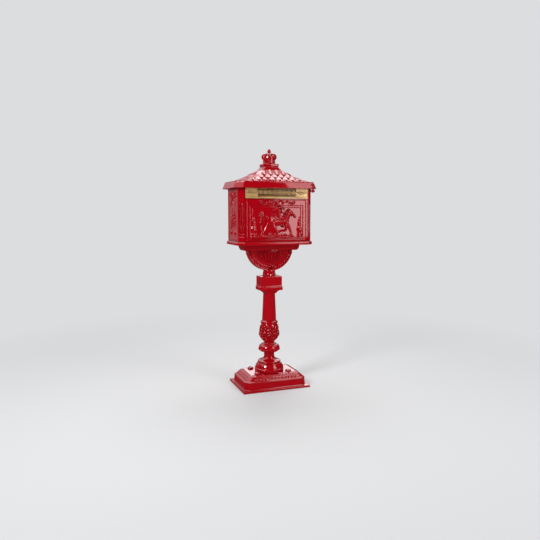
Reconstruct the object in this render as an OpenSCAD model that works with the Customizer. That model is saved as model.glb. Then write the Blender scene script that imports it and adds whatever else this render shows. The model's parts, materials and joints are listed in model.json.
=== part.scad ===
// Pedestal post box: a canted cast box with a tiled roof on a turned column and stepped base.
// The origin is the middle of the base's underside. The front faces -Y, and +Z is up.

/* [Base] */
// Width of the base's flange
base_w = 346; // [320:1:380]
// Depth of the base's flange
base_d = 249; // [240:1:280]
// Thickness of the base's flange
base_flange_t = 10; // [8:0.5:14]
// Height of the base's canted wall above the ground
base_wall_top = 50; // [44:1:60]
// Rise of the stepped moulding from the wall up to the deck
base_step_rise = 23; // [18:0.5:28]
// Wall thickness of the base casting
base_wall = 6; // [5:0.5:8]
// Ledge of the flange around the wall
base_ledge = 12; // [8:0.5:16]
// Leg of the canted corners at the foot of the wall
base_cant = 26; // [22:1:34]
// Inset of the deck's edge from the flange's edge at the left and right
deck_inset = 53; // [48:1:56]
// How much farther the deck's edge is inset at the front and rear
deck_inset_more = 3; // [0:0.5:5]
// Distance between the anchor holes across the front
anchor_pitch_x = 164; // [160:1:180]
// Distance between the anchor holes from front to back
anchor_pitch_y = 109; // [104:1:116]
// Diameter of the anchor holes
anchor_hole_d = 11; // [8:0.5:14]
// Diameter of the domed anchor caps
anchor_cap_d = 31; // [27:0.5:33]
// Height of the domed anchor caps
anchor_cap_h = 11; // [8:0.5:14]
// Diameter of the beads on the base's moulding
base_bead_d = 8; // [6:0.5:9]
// Distance between the beads on the base's moulding
base_bead_pitch = 17.2; // [14:0.2:22]

/* [Lower column] */
// Diameter of the foot
foot_d = 146; // [130:1:148]
// Height of the foot
foot_h = 17; // [14:1:26]
// Height of the bell above the foot
bell_h = 25; // [20:1:32]
// Diameter of the collar on the bell
collar_d = 116; // [104:1:122]
// Height of the collar
collar_h = 12; // [8:1:16]
// Diameter of the narrow necks
neck_d = 52; // [48:1:58]
// Height of the flared stem between the collar and the knop
stem_h = 43; // [38:1:52]
// Diameter of the beaded knop
knop_d = 106.6; // [96:1:116]
// Height of the beaded knop
knop_h = 40; // [34:1:46]
// Height of the neck between the knop and the urn
upper_neck_h = 12; // [10:1:18]
// Widest diameter of the leaf urn
urn_d = 93.6; // [86:1:100]
// Height of the leaf urn
urn_h = 90; // [80:1:110]
// Diameter of the ring of balls over the urn
ring_d = 87.6; // [84:1:94]
// Height of the ring of balls
ring_h = 20; // [16:1:26]
// Number of acanthus leaves around the urn
leaf_count = 6; // [5:1:8]
// How far the leaves stand out of the urn
leaf_relief = 2.6; // [1.5:0.1:4]

/* [Upper column] */
// Diameter of the shaft at its foot
shaft_foot_d = 71; // [66:0.5:74]
// Diameter of the shaft at its top
shaft_top_d = 59.4; // [56:0.5:64]
// Height of the tapered shaft
shaft_h = 137; // [100:1:180]
// Height of the cavetto under the block
cavetto_h = 16; // [12:1:26]
// Width of the square block
block_w = 110; // [100:1:124]
// Depth of the square block
block_d = 76; // [72:1:84]
// Height of the square block
block_h = 71; // [60:1:90]

/* [Bracket] */
// Height of the neck under the half disc
bracket_neck_h = 26; // [22:1:36]
// Radius of the half disc
disc_r = 118; // [110:1:124]
// Thickness of the half disc from front to back
disc_t = 40; // [36:1:46]
// Width of the ovolo block at the top of the bracket
ovolo_w = 296; // [280:1:310]
// Depth of the ovolo block at the top of the bracket
ovolo_d = 78; // [74:1:90]
// Height of the ovolo block
ovolo_h = 30; // [26:1:36]
// Diameter of the beads along the disc's rim
rim_bead_d = 8; // [6:0.5:9]
// Distance between the beads along the disc's rim
rim_bead_pitch = 13.2; // [11:0.2:18]
// Number of flutes in the bowl on each face
flute_count = 9; // [7:2:11]

/* [Box] */
// Depth of the box over its corner posts
box_d = 215.8; // [210:0.2:226]
// Height of the corner posts
box_h = 254; // [246:1:280]
// Leg of the box's canted corners
box_cant = 23.2; // [21:0.2:25]
// Thickness of the cast panels
panel_t = 6; // [5:0.5:7]
// Height of the moulded floor flange
floor_h = 17; // [15:0.5:22]
// How far the floor flange stands out of the posts
floor_lip = 5.8; // [4:0.2:8]
// Gap around each panel
panel_gap = 0.3; // [0.2:0.05:0.6]

/* [Letter flap] */
// Width of the flap, which the width of the box follows
flap_w = 316; // [304:1:326]
// Gap between each end of the flap and the post beside it
flap_side_gap = 2.5; // [1.5:0.1:5]
// Height of the flap
flap_h = 51; // [46:1:52]
// Thickness of the flap's plate
flap_t = 4; // [3:0.5:5]
// Distance of the flap's hinge pin below the eave
flap_pin_drop = 10; // [9:0.5:12]
// Diameter of the hinge pins
pin_d = 5; // [4:0.5:5.5]
// Radial running clearance of pins and plug
running = 0.05; // [0.02:0.01:0.09]
// Diameter of the knob on the flap's pin
pin_knob_d = 17; // [12:1:18]

/* [Retrieval door] */
// Width of the opening in the rear panel
opening_w = 240; // [220:1:250]
// Height of the opening in the rear panel
opening_h = 164; // [140:1:170]
// Overlap of the door over the edge of the opening
door_lap = 8; // [6:0.5:9]
// Thickness of the door's plate
door_t = 4; // [3:0.5:5]
// Diameter of the lock's threaded body
lock_d = 17; // [15:0.5:18]
// Diameter of the lock's plug
plug_d = 11; // [9:0.5:12]
// Length of the cam from the lock's axis
cam_len = 28; // [24:1:30]

/* [Roof] */
// Overhang of the eave's lower edge past the posts
eave_overhang = 26; // [22:0.5:30]
// Height of the sloping fascia
fascia_h = 26.4; // [22:0.2:32]
// How far the fascia leans in from bottom to top
fascia_lean = 10; // [6:0.5:12]
// Rise of the tiled slope
slope_rise = 60.6; // [54:0.2:72]
// Number of rows of tiles
tile_rows = 5; // [4:1:7]
// Width of one fish scale tile
tile_w = 34; // [28:1:40]
// How far a tile's lower edge stands out of the slope
tile_lift = 3; // [2:0.2:4]
// Height of the steep band over the tiles
band_h = 21; // [18:1:28]
// Half width of the steep band's foot
band_foot_w = 57; // [54:1:62]
// Half depth of the steep band's foot
band_foot_d = 45; // [43:1:50]
// Half size of the top plate
cap_half = 40; // [39:0.5:42]
// Thickness of the top plate
cap_t = 14; // [12:0.5:18]
// Wall thickness of the roof casting
roof_wall = 6; // [5:0.5:7]

/* [Crown] */
// Diameter of the crown's band
crown_band_d = 56.4; // [52:0.4:62]
// Height of the crown's band
crown_band_h = 20; // [16:1:26]
// Widest diameter over the crown's arches
crown_d = 75.4; // [70:0.4:78]
// Height of the crown's arches
crown_arch_h = 31; // [28:1:36]
// Height of the knob on the crown
crown_knob_h = 22; // [18:1:28]
// Number of arches
arch_count = 8; // [6:1:10]

/* [Fasteners] */
// Diameter of the long tie rod
rod_d = 12; // [10:0.5:12]
// Radial clearance of the tie rod in its holes
rod_gap = 0.5; // [0.3:0.1:0.9]
// Diameter of the screws' shanks
screw_d = 4; // [3.5:0.1:5]
// Diameter of the screws' heads
screw_head_d = 8; // [7:0.2:9]
// Height of the screws' heads
screw_head_h = 3; // [2:0.2:3.5]
// Radial clearance between a screw and its hole
screw_gap = 0.05; // [0.02:0.01:0.2]

/* [Hidden] */
$fn = 64;

enamel = [0.72, 0.02, 0.06];
brass = [0.84, 0.73, 0.49];
steel = [0.62, 0.63, 0.65];
zinc = [0.75, 0.75, 0.72];

// Share of an inset by which a 45 degree cant's leg shrinks
cant_loss = 2 - sqrt(2);
// Small overshoot of a cut past the face it opens
over = 1;

// Heights of the stack, from the ground up
base_h = base_wall_top + base_step_rise;
lower_column_h = foot_h + bell_h + collar_h + stem_h + knop_h + upper_neck_h + urn_h + ring_h;
upper_column_z = base_h + lower_column_h;
block_z = upper_column_z + shaft_h + cavetto_h;
bracket_z = block_z + block_h;
disc_z = bracket_z + bracket_neck_h + disc_r;
ovolo_rise = 14;
floor_z = disc_z + ovolo_rise;
box_z = floor_z + floor_h;
eave_z = box_z + box_h;
slope_z = eave_z + fascia_h;
band_z = slope_z + slope_rise;
cap_z = band_z + band_h;
crown_z = cap_z + cap_t;

// Sections of the box
post_strip = 2.7;
half_w = flap_w / 2 + flap_side_gap + post_strip + box_cant;
half_d = box_d / 2;
panel_edge_x = half_w - box_cant - post_strip;
panel_edge_y = half_d - box_cant - post_strip;
panel_set = 1.9;
front_face = half_d - panel_set;
front_back = front_face - panel_t;
side_face = half_w - panel_set + 0.5;
side_back = side_face - panel_t;
lip_w = 10.5;
lip_t = 6;
floor_t = 6;
flap_z = eave_z + 3 - flap_h;
panel_top_z = flap_z - 0.6;
flap_stop_h = 7;

// Hinge pin of the flap
flap_proud = 4.6;
flap_front = half_d - panel_set + flap_proud;
flap_back = flap_front - flap_t;
flap_pin_r = pin_d / 2;
flap_pin_y = -(flap_back - 6.5);
flap_pin_z = eave_z - flap_pin_drop;
barrel_r = flap_pin_r + 2.6;
pin_knob_x = half_w + 6;

// Retrieval door
opening_z = box_z + 36;
door_gap = 0.3;
door_in = front_face + door_gap;
door_out = door_in + door_t;
door_pin_y = door_out + 1.5;
door_pin_x = -(opening_w / 2 + door_lap + pin_d / 2 + 3.5);
knuckle_r = pin_d / 2 + 2;
knuckle_h = 18;
knuckle_gap = 0.5;
door_h = opening_h + 2 * door_lap;
door_z = opening_z - door_lap;
lock_x = opening_w / 2 - 15;
lock_z = opening_z + opening_h / 2;
lock_flange_t = 2.7;
lock_nut_t = 4.3;
lock_end = door_in - lock_nut_t - 2.4;
cam_t = 2.5;
cam_out = front_back - 1;
cam_in = cam_out - cam_t;
cam_boss_r = 3.5;
cam_w = 16;
cam_screw_r = 2;

// Tie rod stack
rod_r = rod_d / 2;
rod_boss_t = 10;
rod_seat_low = base_h - base_wall - rod_boss_t;
rod_seat_high = floor_z + floor_t;
nut_flats = 19;
washer_t = 2.5;
nut_h = 10;
rod_end = 5.5;

// Roof and finial
eave_w = half_w + eave_overhang;
eave_d = half_d + eave_overhang;
eave_cant = box_cant + cant_loss * eave_overhang;
slope_w = eave_w - fascia_lean;
slope_d = eave_d - fascia_lean;
slope_cant = eave_cant - cant_loss * fascia_lean;
band_cant = 10;
slope_power = 1.6;
boss_x = half_w - 20.4;
boss_y = half_d - 24.9;
boss_r = 8;
roof_screw_reach = 14;
cap_depth = cap_half - 2;
ceiling_z = cap_z - 8;
stud_r = 5;
finial_washer_t = 2;
finial_nut_h = 8;

// Points of an arc about [cx, cy] from angle a0 to a1
function arc(cx, cy, r, a0, a1, n) =
    [for (i = [0:n]) let (a = a0 + (a1 - a0) * i / n) [cx + r * cos(a), cy + r * sin(a)]];

// Points of a quarter wave between two ends, for mouldings
function sweep(a, b, bend, n) =
    [for (i = [0:n]) let (t = i / n, k = pow(t, bend)) [a[0] + (b[0] - a[0]) * k, a[1] + (b[1] - a[1]) * t]];

// A smooth closed outline through a few hand picked points
function smooth(p, n) = [for (i = [0:len(p) - 1]) for (k = [0:n - 1])
    let (
        t = k / n,
        a = p[(i + len(p) - 1) % len(p)],
        b = p[i],
        c = p[(i + 1) % len(p)],
        d = p[(i + 2) % len(p)]
    )
    0.5 * (2 * b + (c - a) * t + (2 * a - 5 * b + 4 * c - d) * t * t
        + (3 * b - a - 3 * c + d) * t * t * t)];

// A smooth open line through a few hand picked points
function line_points(p, n) = [for (i = [0:len(p) - 2]) for (k = [0:(i == len(p) - 2 ? n : n - 1)])
    let (
        t = k / n,
        b = p[i],
        c = p[i + 1],
        a = i == 0 ? 2 * b - c : p[i - 1],
        d = i == len(p) - 2 ? 2 * c - b : p[i + 2]
    )
    0.5 * (2 * b + (c - a) * t + (2 * a - 5 * b + 4 * c - d) * t * t
        + (3 * b - a - 3 * c + d) * t * t * t)];

// Unit normal of a line at point i
function normal_at(q, i) =
    let (v = q[min(i + 1, len(q) - 1)] - q[max(i - 1, 0)]) [-v[1], v[0]] / norm(v);

// A band that follows an open line and tapers from width w0 to w1
module stroke(p, w0, w1, n = 4) {
    q = line_points(p, n);
    m = len(q) - 1;
    polygon(concat(
        [for (i = [0:m]) q[i] + normal_at(q, i) * (w0 + (w1 - w0) * i / m) / 2],
        [for (i = [m:-1:0]) q[i] - normal_at(q, i) * (w0 + (w1 - w0) * i / m) / 2]
    ));
}

// A profile of [half width, z] points, mirrored and drawn out along Y
module drawn_profile(side, reach) {
    rotate([90, 0, 0])
        linear_extrude(reach, center = true)
            polygon(concat(side, [for (i = [len(side) - 1:-1:0]) [-side[i][0], side[i][1]]]));
}

// A solid with rectangular sections, each level being [half width, half depth, cant leg, z]
module square_loft(levels) {
    reach = 4 * (levels[0][0] + levels[0][1]);
    intersection() {
        drawn_profile([for (l = levels) [l[0], l[3]]], reach);
        rotate([0, 0, 90]) drawn_profile([for (l = levels) [l[1], l[3]]], reach);
    }
}

// The same with canted corners
module canted_loft(levels) {
    reach = 4 * (levels[0][0] + levels[0][1]);
    corner = [for (l = levels) [(l[0] + l[1] - l[2]) / sqrt(2), l[3]]];
    intersection() {
        square_loft(levels);
        rotate([0, 0, 45]) drawn_profile(corner, reach);
        rotate([0, 0, -45]) drawn_profile(corner, reach);
    }
}

// A cone between two points
module taper_rod(p, q, r0, r1) {
    v = q - p;
    translate(p)
        rotate([0, acos(v[2] / norm(v)), atan2(v[1], v[0])])
            cylinder(norm(v), r0, r1);
}

// A low dome about Z that starts a little below zero
module dome(r, rise) {
    rotate_extrude($fn = 40)
        polygon(concat(
            [[0, -2], [r, -2]],
            [for (a = [0:18:72]) [r * cos(a), rise * sin(a)]],
            [[0, rise]]
        ));
}

// A hexagon nut about Z
module hex_nut(width, height, bore_r) {
    difference() {
        cylinder(height, r = width / sqrt(3), $fn = 6);
        translate([0, 0, -over]) cylinder(height + 2 * over, r = bore_r);
    }
}

// A flat washer about Z
module ring_washer(outer_r, height, bore_r) {
    difference() {
        cylinder(height, r = outer_r);
        translate([0, 0, -over]) cylinder(height + 2 * over, r = bore_r);
    }
}

// Copies at the four corners of a rectangle
module at_corners(x, y) {
    for (sx = [-1, 1])
        for (sy = [-1, 1])
            translate([sx * x, sy * y, 0]) children();
}

// Base casting. A level of its outside, by its inset from the flange's edge and its height
function base_level(inset, z) =
    let (more = deck_inset_more * (inset - base_ledge) / (deck_inset - base_ledge)) [
        base_w / 2 - inset,
        base_d / 2 - inset - more,
        base_cant - cant_loss * (inset - base_ledge),
        z
    ];

// The mould's steps as shares of the way from the wall's foot to the deck and of the step's rise
step_in = deck_inset - base_ledge;

module base_outside() {
    ledge = base_ledge;
    top = base_wall_top;
    rise = base_step_rise;
    canted_loft([
        base_level(ledge - 2, base_flange_t / 2),
        base_level(ledge - 2, base_flange_t),
        base_level(ledge, base_flange_t + 4),
        base_level(ledge + 2.6, top - 9),
        base_level(ledge + 1.2, top - 7),
        base_level(ledge + 1.2, top - 4.5),
        base_level(ledge + 4.5, top - 1.5),
        base_level(ledge + 0.26 * step_in, top),
        base_level(ledge + 0.31 * step_in, top + 0.1 * rise),
        base_level(ledge + 0.44 * step_in, top + 0.44 * rise),
        base_level(ledge + 0.54 * step_in, top + 0.5 * rise),
        base_level(ledge + 0.61 * step_in, top + 0.74 * rise),
        base_level(ledge + 0.82 * step_in, top + 0.87 * rise),
        base_level(ledge + 0.93 * step_in, top + 0.91 * rise),
        base_level(deck_inset, base_h)
    ]);
    translate([-base_w / 2, -base_d / 2, 0]) cube([base_w, base_d, base_flange_t]);
}

module base_hollow() {
    wall = base_wall;
    canted_loft([
        base_level(base_ledge + wall, -over),
        base_level(base_ledge + wall + 4, base_wall_top - 2 * wall),
        base_level(base_ledge + 0.44 * step_in + wall, base_wall_top + 0.1 * base_step_rise),
        base_level(deck_inset + wall, base_h - wall)
    ]);
}

// Two rows of beads along the front and rear mouldings
module base_beads() {
    span = base_w / 2 - base_ledge - 0.5 * step_in - base_cant / 2;
    count = 2 * floor(span / base_bead_pitch - 0.5) + 1;
    low = base_level(base_ledge + 0.38 * step_in, base_wall_top + 0.32 * base_step_rise);
    high = base_level(base_ledge + 0.7 * step_in, base_wall_top + 0.8 * base_step_rise);
    for (side = [-1, 1]) {
        for (i = [0:count - 1])
            translate([(i - (count - 1) / 2) * base_bead_pitch, side * low[1], low[3]])
                sphere(d = base_bead_d, $fn = 24);
        for (i = [0:count - 2])
            translate([(i - (count - 2) / 2) * base_bead_pitch, side * high[1], high[3]])
                sphere(d = 0.8 * base_bead_d, $fn = 24);
    }
}

cap_rim_depth = 3;
cap_rim_r = anchor_hole_d / 2 + 5.5;

module base() {
    color(enamel) difference() {
        union() {
            difference() {
                base_outside();
                base_hollow();
            }
            at_corners(anchor_pitch_x / 2, anchor_pitch_y / 2)
                cylinder(base_h - base_wall / 2, r = cap_rim_r + 2);
            translate([0, 0, rod_seat_low]) cylinder(rod_boss_t + base_wall / 2, r = 24);
            base_beads();
        }
        at_corners(anchor_pitch_x / 2, anchor_pitch_y / 2) {
            translate([0, 0, -over]) cylinder(base_h + 2 * over, d = anchor_hole_d);
            translate([0, 0, base_h - cap_rim_depth])
                cylinder(cap_rim_depth + over, r = cap_rim_r);
        }
        translate([0, 0, rod_seat_low - over])
            cylinder(base_h, r = rod_r + rod_gap);
    }
}

module anchor_caps() {
    r = anchor_cap_d / 2;
    wall = 2;
    rim = cap_rim_r - 0.15;
    color(enamel)
        at_corners(anchor_pitch_x / 2, anchor_pitch_y / 2)
            translate([0, 0, base_h])
                rotate_extrude()
                    polygon(concat(
                        [[rim - wall, -cap_rim_depth], [rim, -cap_rim_depth], [rim, 0], [r, 0], [r, 2]],
                        [for (a = [12:13:90]) [r * cos(a), 2 + (anchor_cap_h - 2) * sin(a)]],
                        [[0, anchor_cap_h], [0, anchor_cap_h - wall]],
                        [for (a = [75:-15:0]) [(rim - wall) * cos(a), (anchor_cap_h - wall) * sin(a)]]
                    ));
}

// Lower column: foot, bell, collar, stem, knop, urn and ring
bell_z = foot_h;
collar_z = bell_z + bell_h;
stem_z = collar_z + collar_h;
knop_z = stem_z + stem_h;
upper_neck_z = knop_z + knop_h;
urn_z = upper_neck_z + upper_neck_h;
ring_z = urn_z + urn_h;

knop_bulge = knop_h / 2;
knop_core = knop_d / 2 - knop_bulge;
ball_r = ring_h * 0.34;
socket_r = 28.3;
socket_depth = 25;
spigot_gap = 0.3;

function urn_side(grow) = [
    [neck_d / 2 + grow, urn_z],
    [neck_d / 2 + 4 + grow, urn_z + 0.08 * urn_h],
    [urn_d / 2 - 10 + grow, urn_z + 0.17 * urn_h],
    [urn_d / 2 - 3.2 + grow, urn_z + 0.29 * urn_h],
    [urn_d / 2 + grow, urn_z + 0.4 * urn_h],
    [urn_d / 2 - 0.4 + grow, urn_z + 0.52 * urn_h],
    [urn_d / 2 - 2 + grow, urn_z + 0.7 * urn_h],
    [urn_d / 2 - 4.6 + grow, urn_z + 0.9 * urn_h],
    [urn_d / 2 - 6.6 + grow, ring_z]
];

function lower_column_side() = concat(
    [[foot_d / 2, 0], [foot_d / 2, foot_h - 2], [foot_d / 2 - 2, foot_h]],
    sweep([foot_d / 2 - 3, foot_h + 0.5], [collar_d / 2 + 1.5, collar_z], 1.7, 5),
    arc(collar_d / 2 - collar_h / 2, collar_z + collar_h / 2, collar_h / 2, -80, 80, 6),
    [[neck_d / 2 + 0.56 * stem_h, stem_z]],
    arc(neck_d / 2 + 0.52 * stem_h, stem_z + 0.56 * stem_h, 0.52 * stem_h, 260, 180, 6),
    [[neck_d / 2, knop_z - 6], [knop_core - 4, knop_z - 1]],
    arc(knop_core, knop_z + knop_h / 2, knop_bulge, -90, 90, 12),
    [[neck_d / 2 + 3, upper_neck_z + 2], [neck_d / 2, upper_neck_z + 5]],
    urn_side(0),
    arc(ring_d / 2 - ring_h / 2 + 2.6, ring_z + ring_h / 2 - 1, ring_h / 2 - 2.6, -70, 70, 5),
    [[shaft_foot_d / 2 + 0.5, ring_z + ring_h]]
);

bore_r = 18;

function lower_column_bore() = concat(
    [[0, -over], [foot_d / 2 - 18, -over], [foot_d / 2 - 20, foot_h]],
    [[collar_d / 2 - 14, collar_z], [bore_r, stem_z + 0.3 * stem_h]],
    [[bore_r, ring_z + ring_h - socket_depth], [socket_r, ring_z + ring_h - socket_depth]],
    [[socket_r, ring_z + ring_h + over], [0, ring_z + ring_h + over]]
);

// Outline of one acanthus leaf, with lobes on both sides of its tip
module leaf_outline() {
    lobes = 4;
    span = urn_h * 0.86;
    half = 0.9 * PI * urn_d / leaf_count / 2;
    right = [for (i = [0:lobes * 6]) let (
            t = i / (lobes * 6),
            hull_w = half * pow(sin(180 * pow(t, 0.7)), 0.75),
            notch = 1 - 0.26 * pow(sin(180 * lobes * t), 2)
        ) [max(hull_w * notch, 1.2), urn_z + 3 + span * t]];
    polygon(concat(right, [for (i = [len(right) - 1:-1:0]) [-right[i][0], right[i][1]]]));
}

module urn_leaves() {
    intersection() {
        rotate_extrude()
            polygon(concat([[neck_d / 2 - 4, urn_z]], urn_side(leaf_relief), [[neck_d / 2 - 4, ring_z]]));
        for (i = [0:leaf_count - 1])
            rotate([0, 0, 360 * (i + 0.5) / leaf_count])
                translate([0, -neck_d / 2 + 1, 0])
                    rotate([90, 0, 0]) linear_extrude(urn_d) leaf_outline();
    }
}

module ball_row(count, radius, z, d) {
    for (i = [0:count - 1])
        rotate([0, 0, 360 * (i + 0.5) / count])
            translate([0, -radius, z]) sphere(d = d, $fn = 24);
}

module lower_column() {
    color(enamel) translate([0, 0, base_h]) difference() {
        union() {
            rotate_extrude() polygon(concat([[0, 0]], lower_column_side(), [[0, ring_z + ring_h]]));
            urn_leaves();
            ball_row(18, knop_core + 0.9 * knop_bulge, knop_z + 0.33 * knop_h, 0.22 * knop_h);
            ball_row(14, knop_core + 1, upper_neck_z, 6);
            ball_row(12, ring_d / 2 - ball_r, ring_z + ring_h / 2 - 1, 2 * ball_r);
        }
        rotate_extrude() polygon(lower_column_bore());
    }
}

// Upper column: shaft, cavetto and block
module upper_column() {
    bw = block_w / 2;
    bd = block_d / 2;
    top_r = shaft_top_d / 2;
    flare = 3;
    color(enamel) difference() {
        union() {
            translate([0, 0, upper_column_z - socket_depth + over])
                cylinder(socket_depth, r = socket_r - spigot_gap);
            translate([0, 0, upper_column_z])
                cylinder(shaft_h, shaft_foot_d / 2, top_r);
            translate([0, 0, upper_column_z + shaft_h - over])
                cylinder(cavetto_h, r = top_r);
            square_loft([
                [top_r - 2, top_r - 2, 0, block_z - cavetto_h],
                [top_r + 1, top_r - 0.5, 0, block_z - 0.7 * cavetto_h],
                [top_r + 5, top_r + 1.5, 0, block_z - 0.4 * cavetto_h],
                [bw - 13, bd - 4, 0, block_z - 0.12 * cavetto_h],
                [bw - 11, bd - 2, 0, block_z + over]
            ]);
            square_loft([
                [bw + flare - 1.5, bd + flare - 1.5, 0, block_z],
                [bw + flare, bd + flare, 0, block_z + 3],
                [bw + flare, bd + flare, 0, block_z + 0.22 * block_h],
                [bw + 0.6, bd + 0.6, 0, block_z + 0.29 * block_h],
                [bw, bd, 0, block_z + 0.32 * block_h],
                [bw, bd, 0, bracket_z - 2],
                [bw - 2, bd - 2, 0, bracket_z]
            ]);
        }
        translate([0, 0, upper_column_z - socket_depth])
            cylinder(socket_depth + shaft_h, r = bore_r);
        translate([0, 0, upper_column_z + shaft_h - over])
            cylinder(cavetto_h + block_h + 2 * over, r = rod_r + 6);
    }
}

// Bracket: neck, half disc, bowl, ears and ovolo block
ear_r = 12.5;
ear_drop = 28;
bowl_top = -ear_drop + 6;
bowl_foot_w = 24;
bowl_w = 76;
bowl_h = 69;
bowl_flat = 0.48;
rim_bead_r = disc_r - 12;

module disc_outline() {
    intersection() {
        circle(disc_r, $fn = 128);
        translate([-disc_r, -disc_r - over]) square([2 * disc_r, disc_r + over + bowl_top + 8]);
    }
    for (side = [-1, 1])
        translate([side * (disc_r - ear_r - 1), -ear_drop]) circle(ear_r);
}

// Radius of the bowl at a share t of its height, before it is pressed flat
function bowl_r(t) = bowl_foot_w + (bowl_w - bowl_foot_w) * pow(sin(90 * t), 0.95);

function bowl_z(t) = disc_z + bowl_top - bowl_h * (1 - t);

// Half of a turned bowl on each face, pressed flat from front to back, with a foot and a rim
module bowl() {
    shares = [for (i = [0:7]) i / 7];
    scale([1, bowl_flat, 1])
        rotate_extrude()
            polygon(concat(
                [[0, bowl_z(0) - 7], [18, bowl_z(0) - 7], [bowl_foot_w + 3, bowl_z(0) - 5]],
                [[bowl_foot_w + 3, bowl_z(0) - 1.5]],
                [for (t = shares) [bowl_r(t), bowl_z(t)]],
                [[bowl_w + 3, bowl_z(1) + 1.5], [bowl_w + 3, bowl_z(1) + 5], [bowl_w, bowl_z(1) + 8]],
                [[0, bowl_z(1) + 8]]
            ));
}

// A point on the bowl at a share t of its height and an angle from the middle of a face
function bowl_point(t, angle) =
    [bowl_r(t) * sin(angle), -bowl_flat * bowl_r(t) * cos(angle), bowl_z(t)];

// Each length of a flute starts in a ball that is a little wider than the flute there
flute_ball = 1.06;

module flutes() {
    shares = [0.04, 0.35, 0.68, 0.97];
    step = 118 / flute_count;
    for (turn = [0, 180])
        for (i = [0:flute_count - 1])
            for (k = [0:len(shares) - 2]) {
                angle = (i - (flute_count - 1) / 2) * step;
                width = PI * step / 180 * 0.36;
                rotate([0, 0, turn]) {
                    taper_rod(
                        bowl_point(shares[k], angle),
                        bowl_point(shares[k + 1], angle),
                        bowl_r(shares[k]) * width,
                        bowl_r(shares[k + 1]) * width
                    );
                    translate(bowl_point(shares[k], angle))
                        sphere(bowl_r(shares[k]) * width * flute_ball, $fn = 24);
                }
            }
}

module rim_beads() {
    step = rim_bead_pitch / rim_bead_r * 180 / PI;
    count = 2 * floor(68 / step) + 1;
    for (side = [-1, 1])
        for (i = [0:count - 1]) {
            a = 270 + (i - (count - 1) / 2) * step;
            translate([rim_bead_r * cos(a), side * disc_t / 2, disc_z + rim_bead_r * sin(a)])
                sphere(d = rim_bead_d, $fn = 24);
        }
}

module bracket() {
    neck = bracket_neck_h;
    ow = ovolo_w / 2;
    od = ovolo_d / 2;
    color(enamel) difference() {
        union() {
            translate([0, 0, bracket_z])
                rotate_extrude()
                    polygon([
                        [0, 0], [34, 0], [33, 3], [30.5, 8], [28.8, 15], [28.6, 21], [29.4, neck],
                        [28, neck + 5], [24, neck + 9], [17, neck + 12], [0, neck + 13]
                    ]);
            translate([0, 0, disc_z])
                rotate([90, 0, 0]) linear_extrude(disc_t, center = true) disc_outline();
            translate([0, 0, disc_z])
                rotate([90, 0, 0])
                    linear_extrude(disc_t + 3, center = true)
                        intersection() {
                            difference() {
                                circle(disc_r + 0.5, $fn = 128);
                                circle(disc_r - 5, $fn = 128);
                            }
                            translate([-disc_r - over, -disc_r - over])
                                square([2 * disc_r + 2 * over, disc_r + over - ear_drop - 6]);
                        }
            bowl();
            flutes();
            rim_beads();
            square_loft([for (a = [0:15:90]) [
                    ow - 15 * (1 - sin(a)),
                    od - 7 * (1 - sin(a)),
                    0,
                    floor_z - ovolo_h + (ovolo_h - 3) * (1 - cos(a))
                ],
                [ow, od, 0, floor_z]
            ]);
        }
        translate([0, 0, bracket_z - over])
            cylinder(floor_z - bracket_z + 2 * over, r = rod_r + rod_gap);
    }
}

// Tie rod with its washers and nuts
module tie_rod() {
    low = rod_seat_low - washer_t - nut_h - rod_end;
    high = rod_seat_high + washer_t + nut_h + rod_end;
    color(steel) translate([0, 0, low]) cylinder(high - low, r = rod_r);
}

module tie_rod_washers() {
    color(steel) {
        translate([0, 0, rod_seat_low - washer_t]) ring_washer(2 * rod_r, washer_t, rod_r + running);
        translate([0, 0, rod_seat_high]) ring_washer(2 * rod_r, washer_t, rod_r + running);
    }
}

module tie_rod_nuts() {
    color(steel) {
        translate([0, 0, rod_seat_low - washer_t - nut_h]) hex_nut(nut_flats, nut_h, rod_r + running);
        translate([0, 0, rod_seat_high + washer_t]) hex_nut(nut_flats, nut_h, rod_r + running);
    }
}

// Floor casting with its moulded flange
function floor_level(grow, z) = [half_w + grow, half_d + grow, box_cant + cant_loss * grow, z];

lug_t = 8;
lug_w = half_w - boss_x + 9.6;

module floor_plate() {
    color(enamel) difference() {
        canted_loft([
            floor_level(floor_lip + 1.7 - 2, floor_z),
            floor_level(floor_lip + 1.7, floor_z + 2),
            floor_level(floor_lip + 1.7, box_z - 6),
            floor_level(floor_lip, box_z - 2.5),
            floor_level(floor_lip - 2.8, box_z)
        ]);
        translate([0, 0, (rod_seat_high + box_z + over) / 2])
            cube([
                2 * (half_w - 30),
                2 * (half_d - 22),
                box_z + over - rod_seat_high
            ], center = true);
        translate([0, 0, floor_z - over]) cylinder(2 * floor_h, r = rod_r + rod_gap);
        at_corners(boss_x, boss_y) {
            translate([0, 0, floor_z - over]) cylinder(2 * floor_h, r = screw_d / 2 + screw_gap);
            translate([0, 0, floor_z - over])
                cylinder(screw_head_h + over, r = screw_head_d / 2 + 0.4);
        }
    }
}

module floor_screws() {
    color(zinc)
        at_corners(boss_x, boss_y) {
            translate([0, 0, floor_z]) cylinder(screw_head_h, r = screw_head_d / 2);
            translate([0, 0, floor_z]) cylinder(floor_h + lug_t - 1, r = screw_d / 2);
        }
}

// Corner post at the right front, as a section in plan
module post_section() {
    polygon([
        [panel_edge_x, -half_d],
        [half_w - box_cant, -half_d],
        [half_w, -half_d + box_cant],
        [half_w, -panel_edge_y],
        [side_back - lip_t, -panel_edge_y],
        [side_back - lip_t, -front_back + lip_t + 8.5],
        [side_back - lip_t - 8.5, -front_back + lip_t],
        [panel_edge_x, -front_back + lip_t]
    ]);
}

module screw_lug() {
    polygon([
        [boss_x - 8, -front_back + 3],
        [boss_x - 8, -boss_y + 9],
        [side_back - 3, -boss_y + 9],
        [side_back - 3, -front_back + lip_t + 8],
        [side_back - lip_t - 5, -front_back + 3]
    ]);
}

reed_low = 35;
reed_high = 180;

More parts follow.
